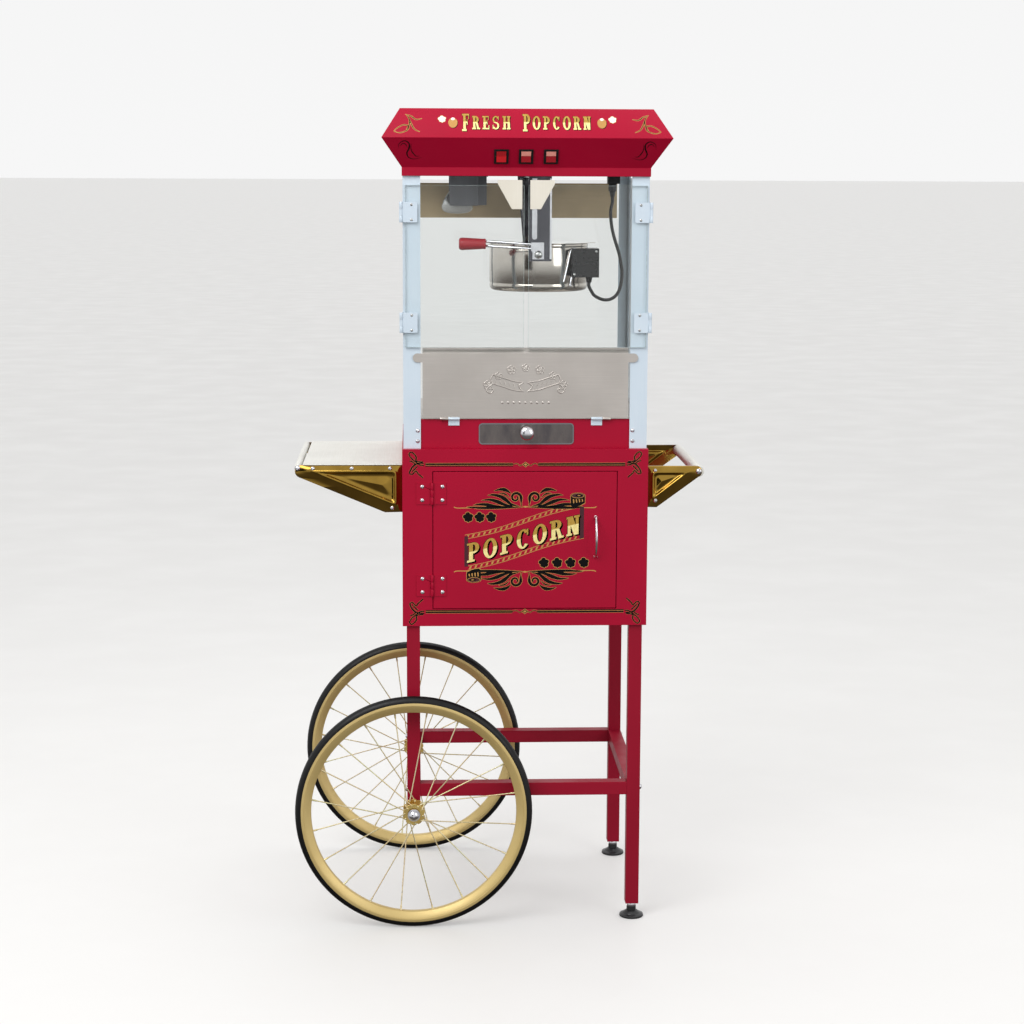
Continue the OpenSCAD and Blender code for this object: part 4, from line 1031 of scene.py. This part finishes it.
def door_fittings(side, name):
    """The hinge leaves on one pane with their screws, and the plate that the door is pulled by."""
    body = name + "_glass_door"
    leaves, screws = Shape(), Shape()
    x, y = side * GLASS_PIN[0], GLASS_PIN[1]
    third = GLASS_HINGE_H / 3
    for z in GLASS_HINGE_Z:
        leaves.lathe(knuckle_profile(z + third + 0.3, z + 2 * third - 0.3, 3), (x, y, 0), (0, 0, 1), 32)
        face = Face((0, y + 1, z + GLASS_HINGE_H / 2), (1, 0, 0), (0, 0, 1))
        leaves.prism(face, rounded_outline(27.4, GLASS_HINGE_H, 2.5, x - side * 17.3), 0, 1.5)
        leaves.prism(face, [(x - side * 1.8, -6), (x - side * 1.8, 6), (x - side * 4.4, 6),
                            (x - side * 4.4, -6)][::side], 0.05, 1.45)
        for k, rise in enumerate((5, GLASS_HINGE_H - 5)):
            pan_head(screws, (x - side * 20, y - 0.5, z + rise), (0, -1, 0), 2.6, 1.3, 0.5 + k)
    piece(name + "_pane_leaves", leaves, POST_METAL, body, "post_aluminium", rounded=0.25,
          stands_for=[name + "_door_fittings"])
    piece(name + "_pane_screws", screws, ZINC, body, "zinc")
    plate = Shape()
    inner, outer, slant = (8, 54, 27.5) if side < 0 else (7, 53, 27)
    low, high = PANE_TOP - 44, PANE_TOP + 10
    face = Face((0, PANE_FRONT, 0), (1, 0, 0), (0, 0, 1))
    outline = [(side * inner, high), (side * inner, low), (side * slant, low), (side * outer, high - 7),
               (side * outer, high)]
    plate.prism(face, outline[::-side], 0, 1.5)
    piece(name + "_pull_plate", plate, CREAM, body, "cream_plate", rounded=0.4)


def painted_pane_highlights(side, name):
    """Pale strips along the edges of one clear pane: the faint tint of a thick clear edge, made light enough
    to be a painted highlight for the light the polished edges catch.
    """
    shape = Shape()
    inner, outer, low, high = 4.15, 227.05, 1121.45, 1424.05
    for near, far, bottom, top in ((inner, inner + 0.35, low, high), (outer - 0.35, outer, low, high),
                                   (inner + 0.4, outer - 0.4, high - 0.35, high),
                                   (inner + 0.4, outer - 0.4, low, low + 0.35)):
        shape.slab((min(side * near, side * far), PANE_FRONT - 0.02, bottom),
                   (max(side * near, side * far), PANE_FRONT + 4.02, top))
    piece(name + "_pane_edges", shape, PANE_EDGE_HIGHLIGHT, name + "_glass_door", "clear_sheet")


door_fittings(-1, "left")
door_fittings(1, "right")
painted_pane_highlights(-1, "left")
painted_pane_highlights(1, "right")


# ---- canopy and switches ----

CANOPY_LIP_Y = 8
CANOPY_RIDGE_Y = -29
CANOPY_TOP_Y = 5
CANOPY_Z = (1441, 1457, 1511, 1565)

node_look("canopy_shell", RED, 0.8, 3)
node_look("ceiling_plate", GREY_STEEL)
node_look("gear_motor", GREY_STEEL)
node_look("drive_crown", ZINC)

upper_slope = Face((0, CANOPY_RIDGE_Y, CANOPY_Z[2]), (1, 0, 0),
                   (0, CANOPY_TOP_Y - CANOPY_RIDGE_Y, CANOPY_Z[3] - CANOPY_Z[2]))
lower_slope = Face((0, CANOPY_LIP_Y, CANOPY_Z[1]), (1, 0, 0),
                   (0, CANOPY_RIDGE_Y - CANOPY_LIP_Y, CANOPY_Z[2] - CANOPY_Z[1]))
cabinet_face = Face((0, 0, 0), (1, 0, 0), (0, 0, 1))

node_look("switch_bezels", BLACK, 0.35)
for rocker, look in (("left_rocker", ROCKER_ON), ("middle_rocker", ROCKER_OFF),
                     ("right_rocker", ROCKER_OFF)):
    node_look(rocker, look, 0.5, 3)


# ---- kettle, hanger and lamp ----

KETTLE = (34, 203)
POT_R = 97
POT_Z = (1220, 1312)
PIVOT = (27, 1293)
ARM_Y = (98, 308)


def pot():
    """A drawn steel pot with a rolled rim, its lid bridge and lugs, and its trunnions."""
    x, y = KETTLE
    shape = Shape()
    profile = [(0, 0), (POT_R - 14, 0), (POT_R - 8, 0.8), (POT_R - 4, 2.6), (POT_R - 1.6, 5.6),
               (POT_R - 0.5, 9.5), (POT_R - 0.2, 13), (POT_R - 0.9, 14.5), (POT_R - 0.9, 16),
               (POT_R, 17.5), (POT_R, 84), (POT_R - 0.6, 85.5), (POT_R, 87), (POT_R, 90.6),
               (POT_R - 0.4, 91.8), (POT_R - 1.2, 92), (POT_R - 1.6, 91.2), (POT_R - 1.6, 13),
               (POT_R - 3.5, 8), (POT_R - 12, 4.2), (0, 4)]
    shape.lathe(profile, (x, y, POT_Z[0]), (0, 0, 1), 144)
    for lo, hi in (((x - 11, y - 95, POT_Z[1]), (x + 11, y + 95, POT_Z[1] + 3)),
                   ((x - 11, y - 96.1, POT_Z[1] - 8), (x + 11, y - 93, POT_Z[1] + 3)),
                   ((x - 11, y + 93, POT_Z[1] - 8), (x + 11, y + 96.1, POT_Z[1] + 3))):
        shape.slab(lo, hi)
    shape.lathe([(5.1, -3), (8.6, -3), (9, -2.6), (9, 9.5), (8.5, 10), (5.1, 10)], (x, y, POT_Z[1]),
                (0, 0, 1), 48, closed=True)
    for side in (-1, 1):
        hinge_x, z = x + side * 14, POT_Z[1] + 2.7
        shape.lathe(knuckle_profile(-29, 29, 1.2), (hinge_x, y, z), (0, 1, 0), 16)
        for end in (-1, 1):
            lug_y = y + end * 27.4
            near, far = sorted((hinge_x - side * 4, hinge_x + side * 2.4))
            shape.slab((near, lug_y - 2, POT_Z[1] + 1), (far, lug_y + 2, z + 2.4))
    front, back = y - POT_R, y + POT_R
    for start, stop, radius in ((ARM_Y[0] - 15, front + 1.5, 5), (ARM_Y[0] - 13, ARM_Y[0] - 9, 7.5),
                                (ARM_Y[0] + 4.5, front + 1, 12), (back - 1.5, ARM_Y[1] + 6, 5),
                                (back - 1, ARM_Y[1] - 4.5, 12)):
        low, high = min(start, stop), max(start, stop)
        shape.lathe(knuckle_profile(low, high, radius), (PIVOT[0], 0, PIVOT[1]), (0, 1, 0), 48)
    piece("drawn_pot", shape, POT_STEEL, "kettle", "pot_steel", sharp=40, stands_for=["kettle_pot"])


def pot_wire():
    """A bent wire on the pot's front right, with a ball on its longer leg."""
    shape = Shape()

    def on_pot(turn, z, gap=2.2):
        a = math.radians(turn)
        return Vector((KETTLE[0] + (POT_R + gap) * math.sin(a), KETTLE[1] - (POT_R + gap) * math.cos(a), z))

    shape.tube(smooth_line([on_pot(26, 1240), on_pot(30, 1264), on_pot(34, 1290), on_pot(37, 1302),
                            on_pot(42, 1303), on_pot(45, 1293), on_pot(42, 1270), on_pot(36, 1243),
                            on_pot(35, 1234)], 6), 1.7, 12)
    shape.lathe([(0, -3.4), (2, -2.8), (3.2, -1.2), (3.2, 1.2), (2, 2.8), (0, 3.4)], on_pot(35, 1233),
                (0, 0, 1), 24)
    piece("pot_wire", shape, CHROME, "kettle", "chrome", sharp=60)


def terminal_box_trim():
    """A lid with two screws on the terminal box."""
    lid, screws = Shape(), Shape()
    face = Face((119.5, 112, 1276.2), (1, 0, 0), (0, 0, 1))
    lid.prism(face, rounded_outline(51.6, 54, 4), -0.5, 1.1)
    piece("terminal_box_lid", lid, GLOSS_BLACK, "kettle", "black_plastic", rounded=0.5)
    for u, v in ((-21, -22), (21, 22)):
        pan_head(screws, face(u, v, 1.1), (0, -1, 0), 2.4, 1.1, u)
    piece("terminal_box_screws", screws, ZINC, "kettle", "zinc")


def grip():
    """A moulded grip with finger rings near its mouth."""
    shape = Shape()
    profile = [(0, 0), (7, 0.2), (9.6, 1), (11.2, 3), (12, 7)]
    for k in range(12):
        profile.append((12 - 2.2 * (k + 1) / 12, 7 + 3.2 * (k + 1)))
    profile += [(9.6, 47), (9.9, 48), (9.9, 50.6), (9.2, 51.6), (0, 51.6)]
    shape.lathe(profile, (-125, ARM_Y[0] - 6, 1313), (1, 0, 0), 48)
    piece("moulded_grip", shape, GRIP_RED, "kettle", "red_plastic", stands_for=["kettle_grip"])


def lamp():
    """A reflector lamp: a frosted face over a silvered neck, in its socket."""
    x, y = -124, 285
    glass, neck = Shape(), Shape()
    glass.lathe([(0, 0), (12, 0.6), (22, 2.4), (28, 6), (30.8, 11), (31, 14), (30.4, 18), (0, 18)],
                (x, y, 1367), (0, 0, 1), 64)
    piece("lamp_face", glass, LAMP_GLASS, "cart", "lamp_glass", stands_for=["lamp_bulb"])
    neck.lathe([(0, 18), (30.3, 18), (27.5, 26), (21, 37), (15.4, 44), (13.6, 50), (13.5, 60),
                (13.5, 71.5), (0, 71.5)], (x, y, 1367), (0, 0, 1), 64)
    piece("lamp_neck", neck, ZINC, "cart", "lamp_glass")


pot()
pot_wire()
terminal_box_trim()
grip()
lamp()
node_look("left_kettle_lid", POT_STEEL, 0.3)
node_look("right_kettle_lid", POT_STEEL, 0.3)
node_look("stirrer", ZINC, 0.3)
node_look("kettle_hanger", DARK_STEEL, 0.5)


def hanger_trim():
    """A pressed rib down the front arm, its polished right edge, and the bolt that the pot turns on."""
    rib, bolt = Shape(), Shape()
    face = Face((0, ARM_Y[0], 0), (1, 0, 0), (0, 0, 1))
    outline = [(15.3, 1437), (15.3, 1326)] + arc(20.15, 1326, 4.85, 4.85, 180, 360, 12) + [(25, 1437)]
    rib.prism(face, outline, -0.2, 1.8)
    rib.prism(face, [(49.4, 1284), (53, 1284), (53, 1437), (49.4, 1437)], -0.2, 0.25)
    rear = Face((0, ARM_Y[1] - 3, 0), (1, 0, 0), (0, 0, 1))
    rib.prism(rear, [(13, 1281), (50, 1281), (60, 1437), (2, 1437)], -0.2, 0.4)
    piece("hanger_rib", rib, CHROME, "cart", "zinc", rounded=1.4)
    bolt.lathe([(0, 0), (7.4, 0), (7.6, 0.6), (6.9, 2.4), (4.6, 4.1), (2, 4.9), (0, 5)],
               (PIVOT[0], ARM_Y[0] - 15, PIVOT[1]), (0, -1, 0), 40)
    piece("pivot_cap", bolt, ZINC, "kettle", "zinc")


hanger_trim()
node_look("kettle_handle", CHROME, 0.4)
node_look("terminal_box", GLOSS_BLACK, 0.8, 3)
node_look("power_sockets", BLACK, 0.5)
node_look("lamp_shield", GREY_STEEL, 0.4)


# ---- painted ornament ----

SINK, GOLD_HIGH, BLACK_HIGH = -0.2, 0.10, 0.16


def bar(x0, y0, x1, y1):
    return [(x0, y0), (x1, y0), (x1, y1), (x0, y1)]


def bowl(cx, cy, rx, ry, thick, thin, start, end, steps=18):
    """Part of a letter's round: an outer arc and an inner one that is drawn in by thick and thin."""
    return (arc(cx, cy, rx, ry, start, end, steps)
            + arc(cx, cy, rx - thick, ry - thin, end, start, steps))


STEM = 0.24
SERIF = 0.11
GLYPHS = {
    "P": [bar(0.12, 0, 0.12 + STEM, 1), bar(0, 0, 0.46, SERIF), bar(0, 1 - SERIF, 0.4, 1),
          bowl(0.36, 0.71, 0.38, 0.29, STEM, 0.1, -90, 90), bar(0.3, 0.9, 0.37, 1),
          bar(0.3, 0.42, 0.37, 0.52)],
    "O": [bowl(0.4, 0.5, 0.42, 0.52, STEM, 0.12, 0, 180), bowl(0.4, 0.5, 0.42, 0.52, STEM, 0.12, 180, 360)],
    "C": [bowl(0.38, 0.5, 0.38, 0.51, STEM, 0.1, 40, 320), bar(0.6, 0.66, 0.7, 0.97)],
    "R": [bar(0.1, 0, 0.1 + STEM, 1), bar(0, 0, 0.4, SERIF), bar(0, 1 - SERIF, 0.4, 1),
          bowl(0.34, 0.735, 0.36, 0.265, STEM, 0.1, -90, 90), bar(0.28, 0.9, 0.35, 1),
          bar(0.28, 0.47, 0.35, 0.57), [(0.38, 0.5), (0.58, 0.5), (0.76, 0), (0.54, 0)],
          bar(0.5, 0, 0.84, SERIF)],
    "N": [bar(0.08, 0, 0.26, 1), bar(0, 0, 0.34, SERIF), bar(0, 1 - SERIF, 0.24, 1),
          [(0.08, 1), (0.38, 1), (0.74, 0), (0.46, 0)], bar(0.56, 0, 0.74, 1), bar(0.46, 1 - SERIF, 0.8, 1)],
    "F": [bar(0.12, 0, 0.12 + STEM, 1), bar(0, 0, 0.44, SERIF), bar(0, 0.9, 0.7, 1), bar(0.62, 0.7, 0.7, 1),
          bar(0.3, 0.47, 0.54, 0.57), bar(0.46, 0.36, 0.54, 0.68)],
    "E": [bar(0.12, 0, 0.12 + STEM, 1), bar(0, 0, 0.74, 0.1), bar(0, 0.9, 0.7, 1), bar(0.62, 0.7, 0.7, 1),
          bar(0.3, 0.47, 0.54, 0.57), bar(0.46, 0.36, 0.54, 0.68), bar(0.66, 0, 0.74, 0.3)],
    "S": [bowl(0.36, 0.74, 0.34, 0.27, 0.18, 0.1, 20, 270), bowl(0.36, 0.27, 0.36, 0.28, 0.2, 0.1, -160, 90),
          bar(0.6, 0.68, 0.68, 0.98), bar(0.02, 0.03, 0.1, 0.34)],
    "H": [bar(0.1, 0, 0.1 + STEM, 1), bar(0, 0, 0.38, SERIF), bar(0, 1 - SERIF, 0.38, 1),
          bar(0.54, 0, 0.54 + STEM, 1), bar(0.46, 0, 0.84, SERIF), bar(0.46, 1 - SERIF, 0.84, 1),
          bar(0.26, 0.46, 0.56, 0.56)],
}
LETTER_STEP = 0.012


def word(shape, face, text, place, low, high, toned=False, shift=(0, 0)):
    """Letters on a face; place(k, u, v) puts a point of letter k, drawn in a unit square, on it.

    Toned letters keep each point's height within the letter, which letter_gold() reads.
    """
    for k, letter in enumerate(text):
        for n, outline in enumerate(GLYPHS.get(letter, [])):
            moved = [Vector(place(k, u, v)) + Vector(shift) for u, v in outline]
            tones = dict(zip([tuple(m) for m in moved], [v for u, v in outline]))
            shape.prism(face, [tuple(m) for m in moved], low, high + LETTER_STEP * n,
                        (lambda u, v, kept=tones: kept[(u, v)]) if toned else None)


def spiral(cu, cv, start_r, end_r, start, turns):
    """A volute that winds in towards its centre."""
    line, steps = [], 40
    for k in range(steps + 1):
        t = k / steps
        radius = start_r + (end_r - start_r) * t ** 0.8
        a = math.radians(start + 360 * turns * t)
        line.append((cu + radius * math.cos(a), cv + radius * math.sin(a)))
    return line


class Ornament:
    """Painted lines and letters on one face, in layers of gold, black, maroon and white."""

    def __init__(self, face):
        self.face = face
        self.gold, self.black, self.maroon, self.white, self.letters = (Shape() for _ in range(5))

    def line(self, points, width, gold=1.6, smooth=8, flip=(1, 1), about=(0, 0), plain=False):
        """A black line of the given width with a gold edge round it, or a plain gold one."""
        if smooth:
            points = smooth_line(points, smooth)
        points = [(about[0] + flip[0] * u, about[1] + flip[1] * v) for u, v in points]
        self.gold.stroke(self.face, points, lambda t: width(t) + gold, SINK, GOLD_HIGH)
        if not plain:
            self.black.stroke(self.face, points, width, SINK, BLACK_HIGH)

    def corn(self, u, v, size, body="white"):
        """One popped kernel: a clump of round lobes with a gold edge."""
        lobes = ((-0.05, 0.46, 0.4), (-0.52, 0.1, 0.35), (0.5, 0.22, 0.31), (-0.3, -0.4, 0.3),
                 (0.34, -0.3, 0.38), (0, 0, 0.42), (0.04, -0.66, 0.2))
        main = self.white if body == "white" else self.black
        for n, (lu, lv, r) in enumerate(lobes):
            self.gold.prism(self.face, arc(u + lu * size, v + lv * size, r * size + 0.9, r * size + 0.9,
                                           0, 345, 23), SINK, GOLD_HIGH + 0.004 * n)
            main.prism(self.face, arc(u + lu * size, v + lv * size, r * size, r * size, 0, 345, 23), SINK,
                       BLACK_HIGH + 0.02 + 0.003 * n)

    def pieces(self, name, body):
        for layer, look, slot in ((self.gold, PAINT_GOLD, "gold_paint"),
                                  (self.black, PAINT_BLACK, "black_plastic"),
                                  (self.maroon, PAINT_MAROON, "dark_red_paint"),
                                  (self.white, PAINT_WHITE, "cream_plate"),
                                  (self.letters, LETTER, "gold_paint")):
            if layer.points:
                kind = look.name.replace("decal_", "")
                piece(f"{name}_{kind}", layer, look, body, slot)


def taper(most, sharp=0.25):
    """A width that grows from a point, holds, and falls away to a point."""
    return lambda t: most * min(1, t / sharp, (1 - t) / (1 - sharp)) ** 0.7 if 0 < t < 1 else 0.1


def corner_flourish(art, corner, flip):
    """A looped knot with two tails at a corner, where a pinstripe ends."""
    for points, width in (
            ([(2, 5.4), (-6, 5.6), (-11, 8), (-10.4, 14.5), (-15, 21), (-20, 24), (-24, 20), (-20, 13),
              (-12, 6), (-4, 0), (4, -1.4)], 2.7),
            ([(4, 3), (-6, 2.4), (-14, -1), (-20, -8), (-23, -16), (-18, -18), (-11, -12), (-7, -17),
              (2, -25)], 3.3),
            ([(-12, 1), (-18, 6), (-23, 7)], 2.2), ([(-8, -3), (-14, -9), (-18, -13)], 2.2)):
        art.line(points, lambda t, most=width: max(2.3, taper(most)(t)), gold=0.45, flip=flip,
                 about=corner, smooth=5)


def pinstripe(art, z, side):
    """Two black lines on a gold ground between the corners, with a diamond at the middle."""
    for reach in (-1, 1):
        ends = [(reach * 24, z), (reach * 190, z)]
        art.gold.stroke(art.face, [(u, z + 0.8 * side) for u, z in ends], lambda t: 4.6, SINK, GOLD_HIGH)
        art.black.stroke(art.face, [(u, z + 0.9 * side) for u, z in ends], lambda t: 3.3, SINK, BLACK_HIGH)
        art.black.stroke(art.face, [(u, z - 2.7 * side) for u, z in ends], lambda t: 1.8, SINK, BLACK_HIGH)
        art.line([(reach * 24, z), (reach * 17, z + 2), (reach * 10, z - 2), (reach * 6, z)],
                 lambda t: 1.2, gold=0.8)
    for size, layer, high in ((7.4, art.gold, GOLD_HIGH + 0.01), (5.8, art.black, BLACK_HIGH),
                              (3.4, art.gold, BLACK_HIGH + 0.05)):
        layer.prism(art.face, [(-size, z), (0, z - size * 0.72), (size, z), (0, z + size * 0.72)], SINK, high)


def cabinet_lines():
    art = Ornament(cabinet_face)
    for z, side in ((900, 1), (616, -1)):
        pinstripe(art, z, side)
        for reach in (-1, 1):
            corner_flourish(art, (reach * 197, z), (-reach, side))
    art.pieces("cabinet_lines", "cart")


def scrolls(art, base, up):
    """Two volutes back to back with feathers that sweep out from them along a tapering base line."""
    for side in (-1, 1):
        flip, about = (side, up), (0, base)
        volute = spiral(18.5, 17.5, 11.5, 3.4, 215, -1.2)
        art.line([(7, 1.5), (8, 6)] + volute[2:], lambda t: 5.4 * (1 - 0.5 * t) if t > 0.04 else 1.4,
                 gold=1.5, flip=flip, about=about, smooth=0)
        for points, width in (
                ([(12, 1), (27, 5), (38, 14), (48, 20), (62, 23), (72, 22)], 7.6),
                ([(24, 1), (38, 3.6), (54, 10), (68, 13.6), (84, 12.4)], 7.4),
                ([(40, 0.4), (58, 1.6), (74, 4.2), (88, 4.8), (99, 3.4)], 6.2),
                ([(27, 25), (36, 31.5), (47, 33.5), (60, 30.5)], 6.8),
                ([(30, 17), (37, 23.4), (44, 25.8), (51, 25.4)], 3.2)):
            art.line(points, taper(width, 0.45), gold=1.1, flip=flip, about=about)
        art.line([(4, -0.6), (40, -1.4), (84, -2.0), (100, -0.8), (112, -0.4)], taper(5.2, 0.35), gold=1.4,
                 flip=flip, about=about)
        art.line([(96, -2), (118, -2.2), (131, -2), (136, -0.2)], lambda t: 1.3, gold=0.4, flip=flip,
                 about=about, plain=True)
    art.gold.prism(art.face, [(-6, base), (0, base - 1.9), (6, base), (0, base + 1.9)], SINK,
                   BLACK_HIGH + 0.05)


RIBBON_SLOPE = 0.272
RIBBON_LOW = 731


def on_ribbon(u, rise):
    """A point over the ribbon's sloping line, which bows a little along its length."""
    t = u / 115
    return (u, RIBBON_LOW + rise + RIBBON_SLOPE * u + 3.2 * math.sin(math.pi * t))


def ribbon_border(art, rise, first, last):
    """Two thin gold lines with a row of gold slashes between them."""
    for off in (-4.0, 4.0):
        line = [on_ribbon(first + (last - first) * k / 48, rise + off) for k in range(49)]
        art.gold.stroke(art.face, line, lambda t: 1.1, SINK, GOLD_HIGH)
    slashes = 21
    for k in range(slashes):
        u = first + (last - first) * (k + 0.5) / slashes
        slash = [on_ribbon(u + du, rise + dv)
                 for du, dv in ((-3.2, -2.6), (0.6, -2.6), (3.2, 2.6), (-0.6, 2.6))]
        art.gold.prism(art.face, slash, SINK, GOLD_HIGH + 0.03)


def ribbon_curl(art, u, v, flip):
    """The rolled end of the ribbon: a drum with a dark hollow end, and the fold that leaves it."""
    def placed(points, swell=0.0):
        return [(u + flip * a * (1 + swell), v + flip * b * (1 + swell)) for a, b in points]

    drum = arc(0, 0, 13.5, 5.6, 0, 180, 16) + [(-13.5, -19), (-9, -22), (4, -19.5), (13.5, -14)]
    art.gold.prism(art.face, placed(drum, 0.07), SINK, GOLD_HIGH + 0.02)
    art.black.prism(art.face, placed(drum), SINK, BLACK_HIGH + 0.01)
    for k in range(4):
        a = -9.5 + 5.6 * k
        band = [(a, -6.5), (a + 2.2, -6.8), (a + 3, -14 + k), (a + 0.8, -15 + k)]
        art.gold.prism(art.face, placed(band), SINK, BLACK_HIGH + 0.03)
    art.gold.prism(art.face, placed(arc(0, 0, 12.4, 4.9, 0, 350, 35)), SINK, BLACK_HIGH + 0.03)
    art.maroon.prism(art.face, placed(arc(0, 0.1, 11.4, 4.1, 0, 350, 35)), SINK, BLACK_HIGH + 0.05)
    art.black.prism(art.face, placed(arc(2.0, 0.2, 6.6, 2.4, 0, 350, 35)), SINK, BLACK_HIGH + 0.07)
    art.gold.prism(art.face, placed(arc(2.2, 0.2, 2.8, 0.9, 0, 350, 35)), SINK, BLACK_HIGH + 0.09)


def door_emblem():
    art = Ornament(cabinet_face)
    scrolls(art, 819, 1)
    scrolls(art, 693, -1)
    art.maroon.prism(art.face, [on_ribbon(104, -4), on_ribbon(112, -3), on_ribbon(112, 58),
                                on_ribbon(104, 57)], SINK, BLACK_HIGH + 0.02)
    art.maroon.prism(art.face, [on_ribbon(-116, 4), on_ribbon(-109, 3), on_ribbon(-109, 62),
                                on_ribbon(-116, 62)], SINK, BLACK_HIGH + 0.02)
    ribbon_border(art, 61, -115, 108)
    ribbon_border(art, 0, -110, 112)
    ribbon_curl(art, 100, 840, 1)
    ribbon_curl(art, -98, 678, -1)
    pitch, height, width = 31.6, 37, 31.5

    def letter_place(k, u, v):
        x = -111 + pitch * k + width * u
        return (x, 739.5 + 0.257 * x + 1.5 * math.sin(math.pi * x / 115) + height * v)

    for shift in ((3.0, -2.4), (2.2, -1.8), (1.1, -0.9), (-0.9, 0.6)):
        word(art.black, art.face, "POPCORN", letter_place, SINK, BLACK_HIGH - 0.01, shift=shift)
    word(art.letters, art.face, "POPCORN", letter_place, SINK, BLACK_HIGH + 0.12, toned=True)
    for k in range(3):
        art.corn(-109 + 22 * k, 799, 11.5, "black")
    for k in range(4):
        art.corn(36 + 25.5 * k, 710.5, 11.5, "black")
    art.pieces("door_emblem", "cabinet_door")


def canopy_sign():
    art = Ornament(upper_slope)
    text = "FRESH POPCORN"
    pitch, height, width, base = 18.7, 29, 17.2, 18

    def place(k, u, v):
        tall = 1.3 if k in (0, 6) else 1.0
        return (-121 + pitch * k + width * u * (1.08 if tall > 1 else 1),
                base - (4 if tall > 1 else 0) + height * tall * v)

    for step in (0.6, 1.3):
        word(art.black, art.face, text, place, SINK, BLACK_HIGH - 0.03, shift=(step, -step))
    word(art.black, art.face, text, place, SINK, BLACK_HIGH - 0.03, shift=(-0.7, 0.5))
    word(art.letters, art.face, text, place, SINK, BLACK_HIGH + 0.12, toned=True)
    for side in (-1, 1):
        art.corn(side * 158, 40, 8.5)
        kernel = arc(side * 138, 33, 8.5, 9.5, 0, 180, 14) + arc(side * 138, 33, 8.5, 12, 180, 350, 12)
        art.black.prism(art.face, [(u + 0.9, v - 1.1) for u, v in kernel], SINK, BLACK_HIGH)
        art.gold.prism(art.face, kernel, SINK, BLACK_HIGH + 0.05)
        art.white.prism(art.face, arc(side * 138, 40.5, 3.6, 3.0, 0, 345, 15), SINK, BLACK_HIGH + 0.08)
        for points, width in (
                ([(-27, -16), (-21, -9), (-9, -2), (0, -5), (-3, -14), (-16, -19), (-27, -16)], 1.5),
                ([(-4, -12), (1, -4), (2, 9), (-3, 19)], 1.7),
                ([(-6, 21), (5, 17), (14, 10), (25, 12)], 1.7),
                ([(-1, 18), (5, 1), (11, -11), (21, -17)], 1.5)):
            art.line(points, taper(width, 0.5), gold=1.7, smooth=6, flip=(-side, 1), about=(side * 220, 29))
    art.pieces("canopy_sign", "cart")
    low = Ornament(lower_slope)
    for side in (-1, 1):
        for points, width in (
                ([(-20, 40), (-18, 52), (-8, 58), (0, 52), (0, 42), (-4, 31), (-1, 22), (9, 18),
                  (24, 22)], 3.0),
                ([(-17, 46), (-12, 52), (-6, 50), (-3, 42)], 2.0),
                ([(4, 54), (4, 38), (12, 25), (20, 25)], 2.0)):
            line = [(side * (219 - a), b) for a, b in smooth_line(points, 5)]
            low.black.stroke(low.face, line, taper(width, 0.5), SINK, GOLD_HIGH)
    low.pieces("canopy_lower", "cart")


def flap_relief():
    """A relief pressed into the flap: a ribbon on a bow, popped corn over it and a row of studs."""
    shape = Shape()
    face = Face((0, 11.4, 1047), (1, 0, 0), (0, 0, 1))

    def bead(points, radius=1.25, smooth=8):
        line = smooth_line(points, smooth) if smooth else [Vector(p) for p in points]
        shape.tube([face(p[0], p[1], 0.15) for p in line], radius, 10)

    for rise in (0, 17):
        for side in (-1, 1):
            bead([(side * 4, rise - 9), (side * 24, rise - 6), (side * 46, rise + 1), (side * 62, rise + 6)])
    for side in (-1, 1):
        bead([(side * 62, 6), (side * 66, 14), (side * 62, 23)])
        bead([(side * 62, 6), (side * 70, 0), (side * 74, -8), (side * 66, -12), (side * 61, -6),
              (side * 66, -3)])
        bead([(side * 4, 8), (side * 12, 2), (side * 9, -5), (side * 4, -9)])
        for k in range(6):
            u = 12 + 8.5 * k
            bead([(side * u, -4 + 0.16 * u), (side * (u + 3), 4 + 0.16 * u)], 0.7, 2)
    for k in range(7):
        turn = math.radians(90 + (k - 3) * 17)
        u, v = 92 * math.cos(turn), -52 + 88 * math.sin(turn)
        size = 7.4 if k % 2 else 9
        for lobe in range(5):
            a = math.radians(90 + 72 * lobe)
            cu, cv = u + 0.5 * size * math.cos(a), v + 0.5 * size * math.sin(a)
            lobe_line = arc(cu, cv, 0.42 * size, 0.42 * size, 0, 360, 14)
            shape.tube([face(x, y, 0.1) for x, y in lobe_line], 1.0, 8)
    for k in range(9):
        stud = face(-44 + 11 * k, -30, 0)
        shape.lathe([(0, 0.9), (1.4, 0.7), (2.4, 0.2), (2.6, -0.2), (0, -0.2)], stud, (0, -1, 0), 20)
    piece("flap_relief", shape, STAINLESS, "serving_flap", "stainless", sharp=60)


cabinet_lines()
door_emblem()
canopy_sign()
flap_relief()
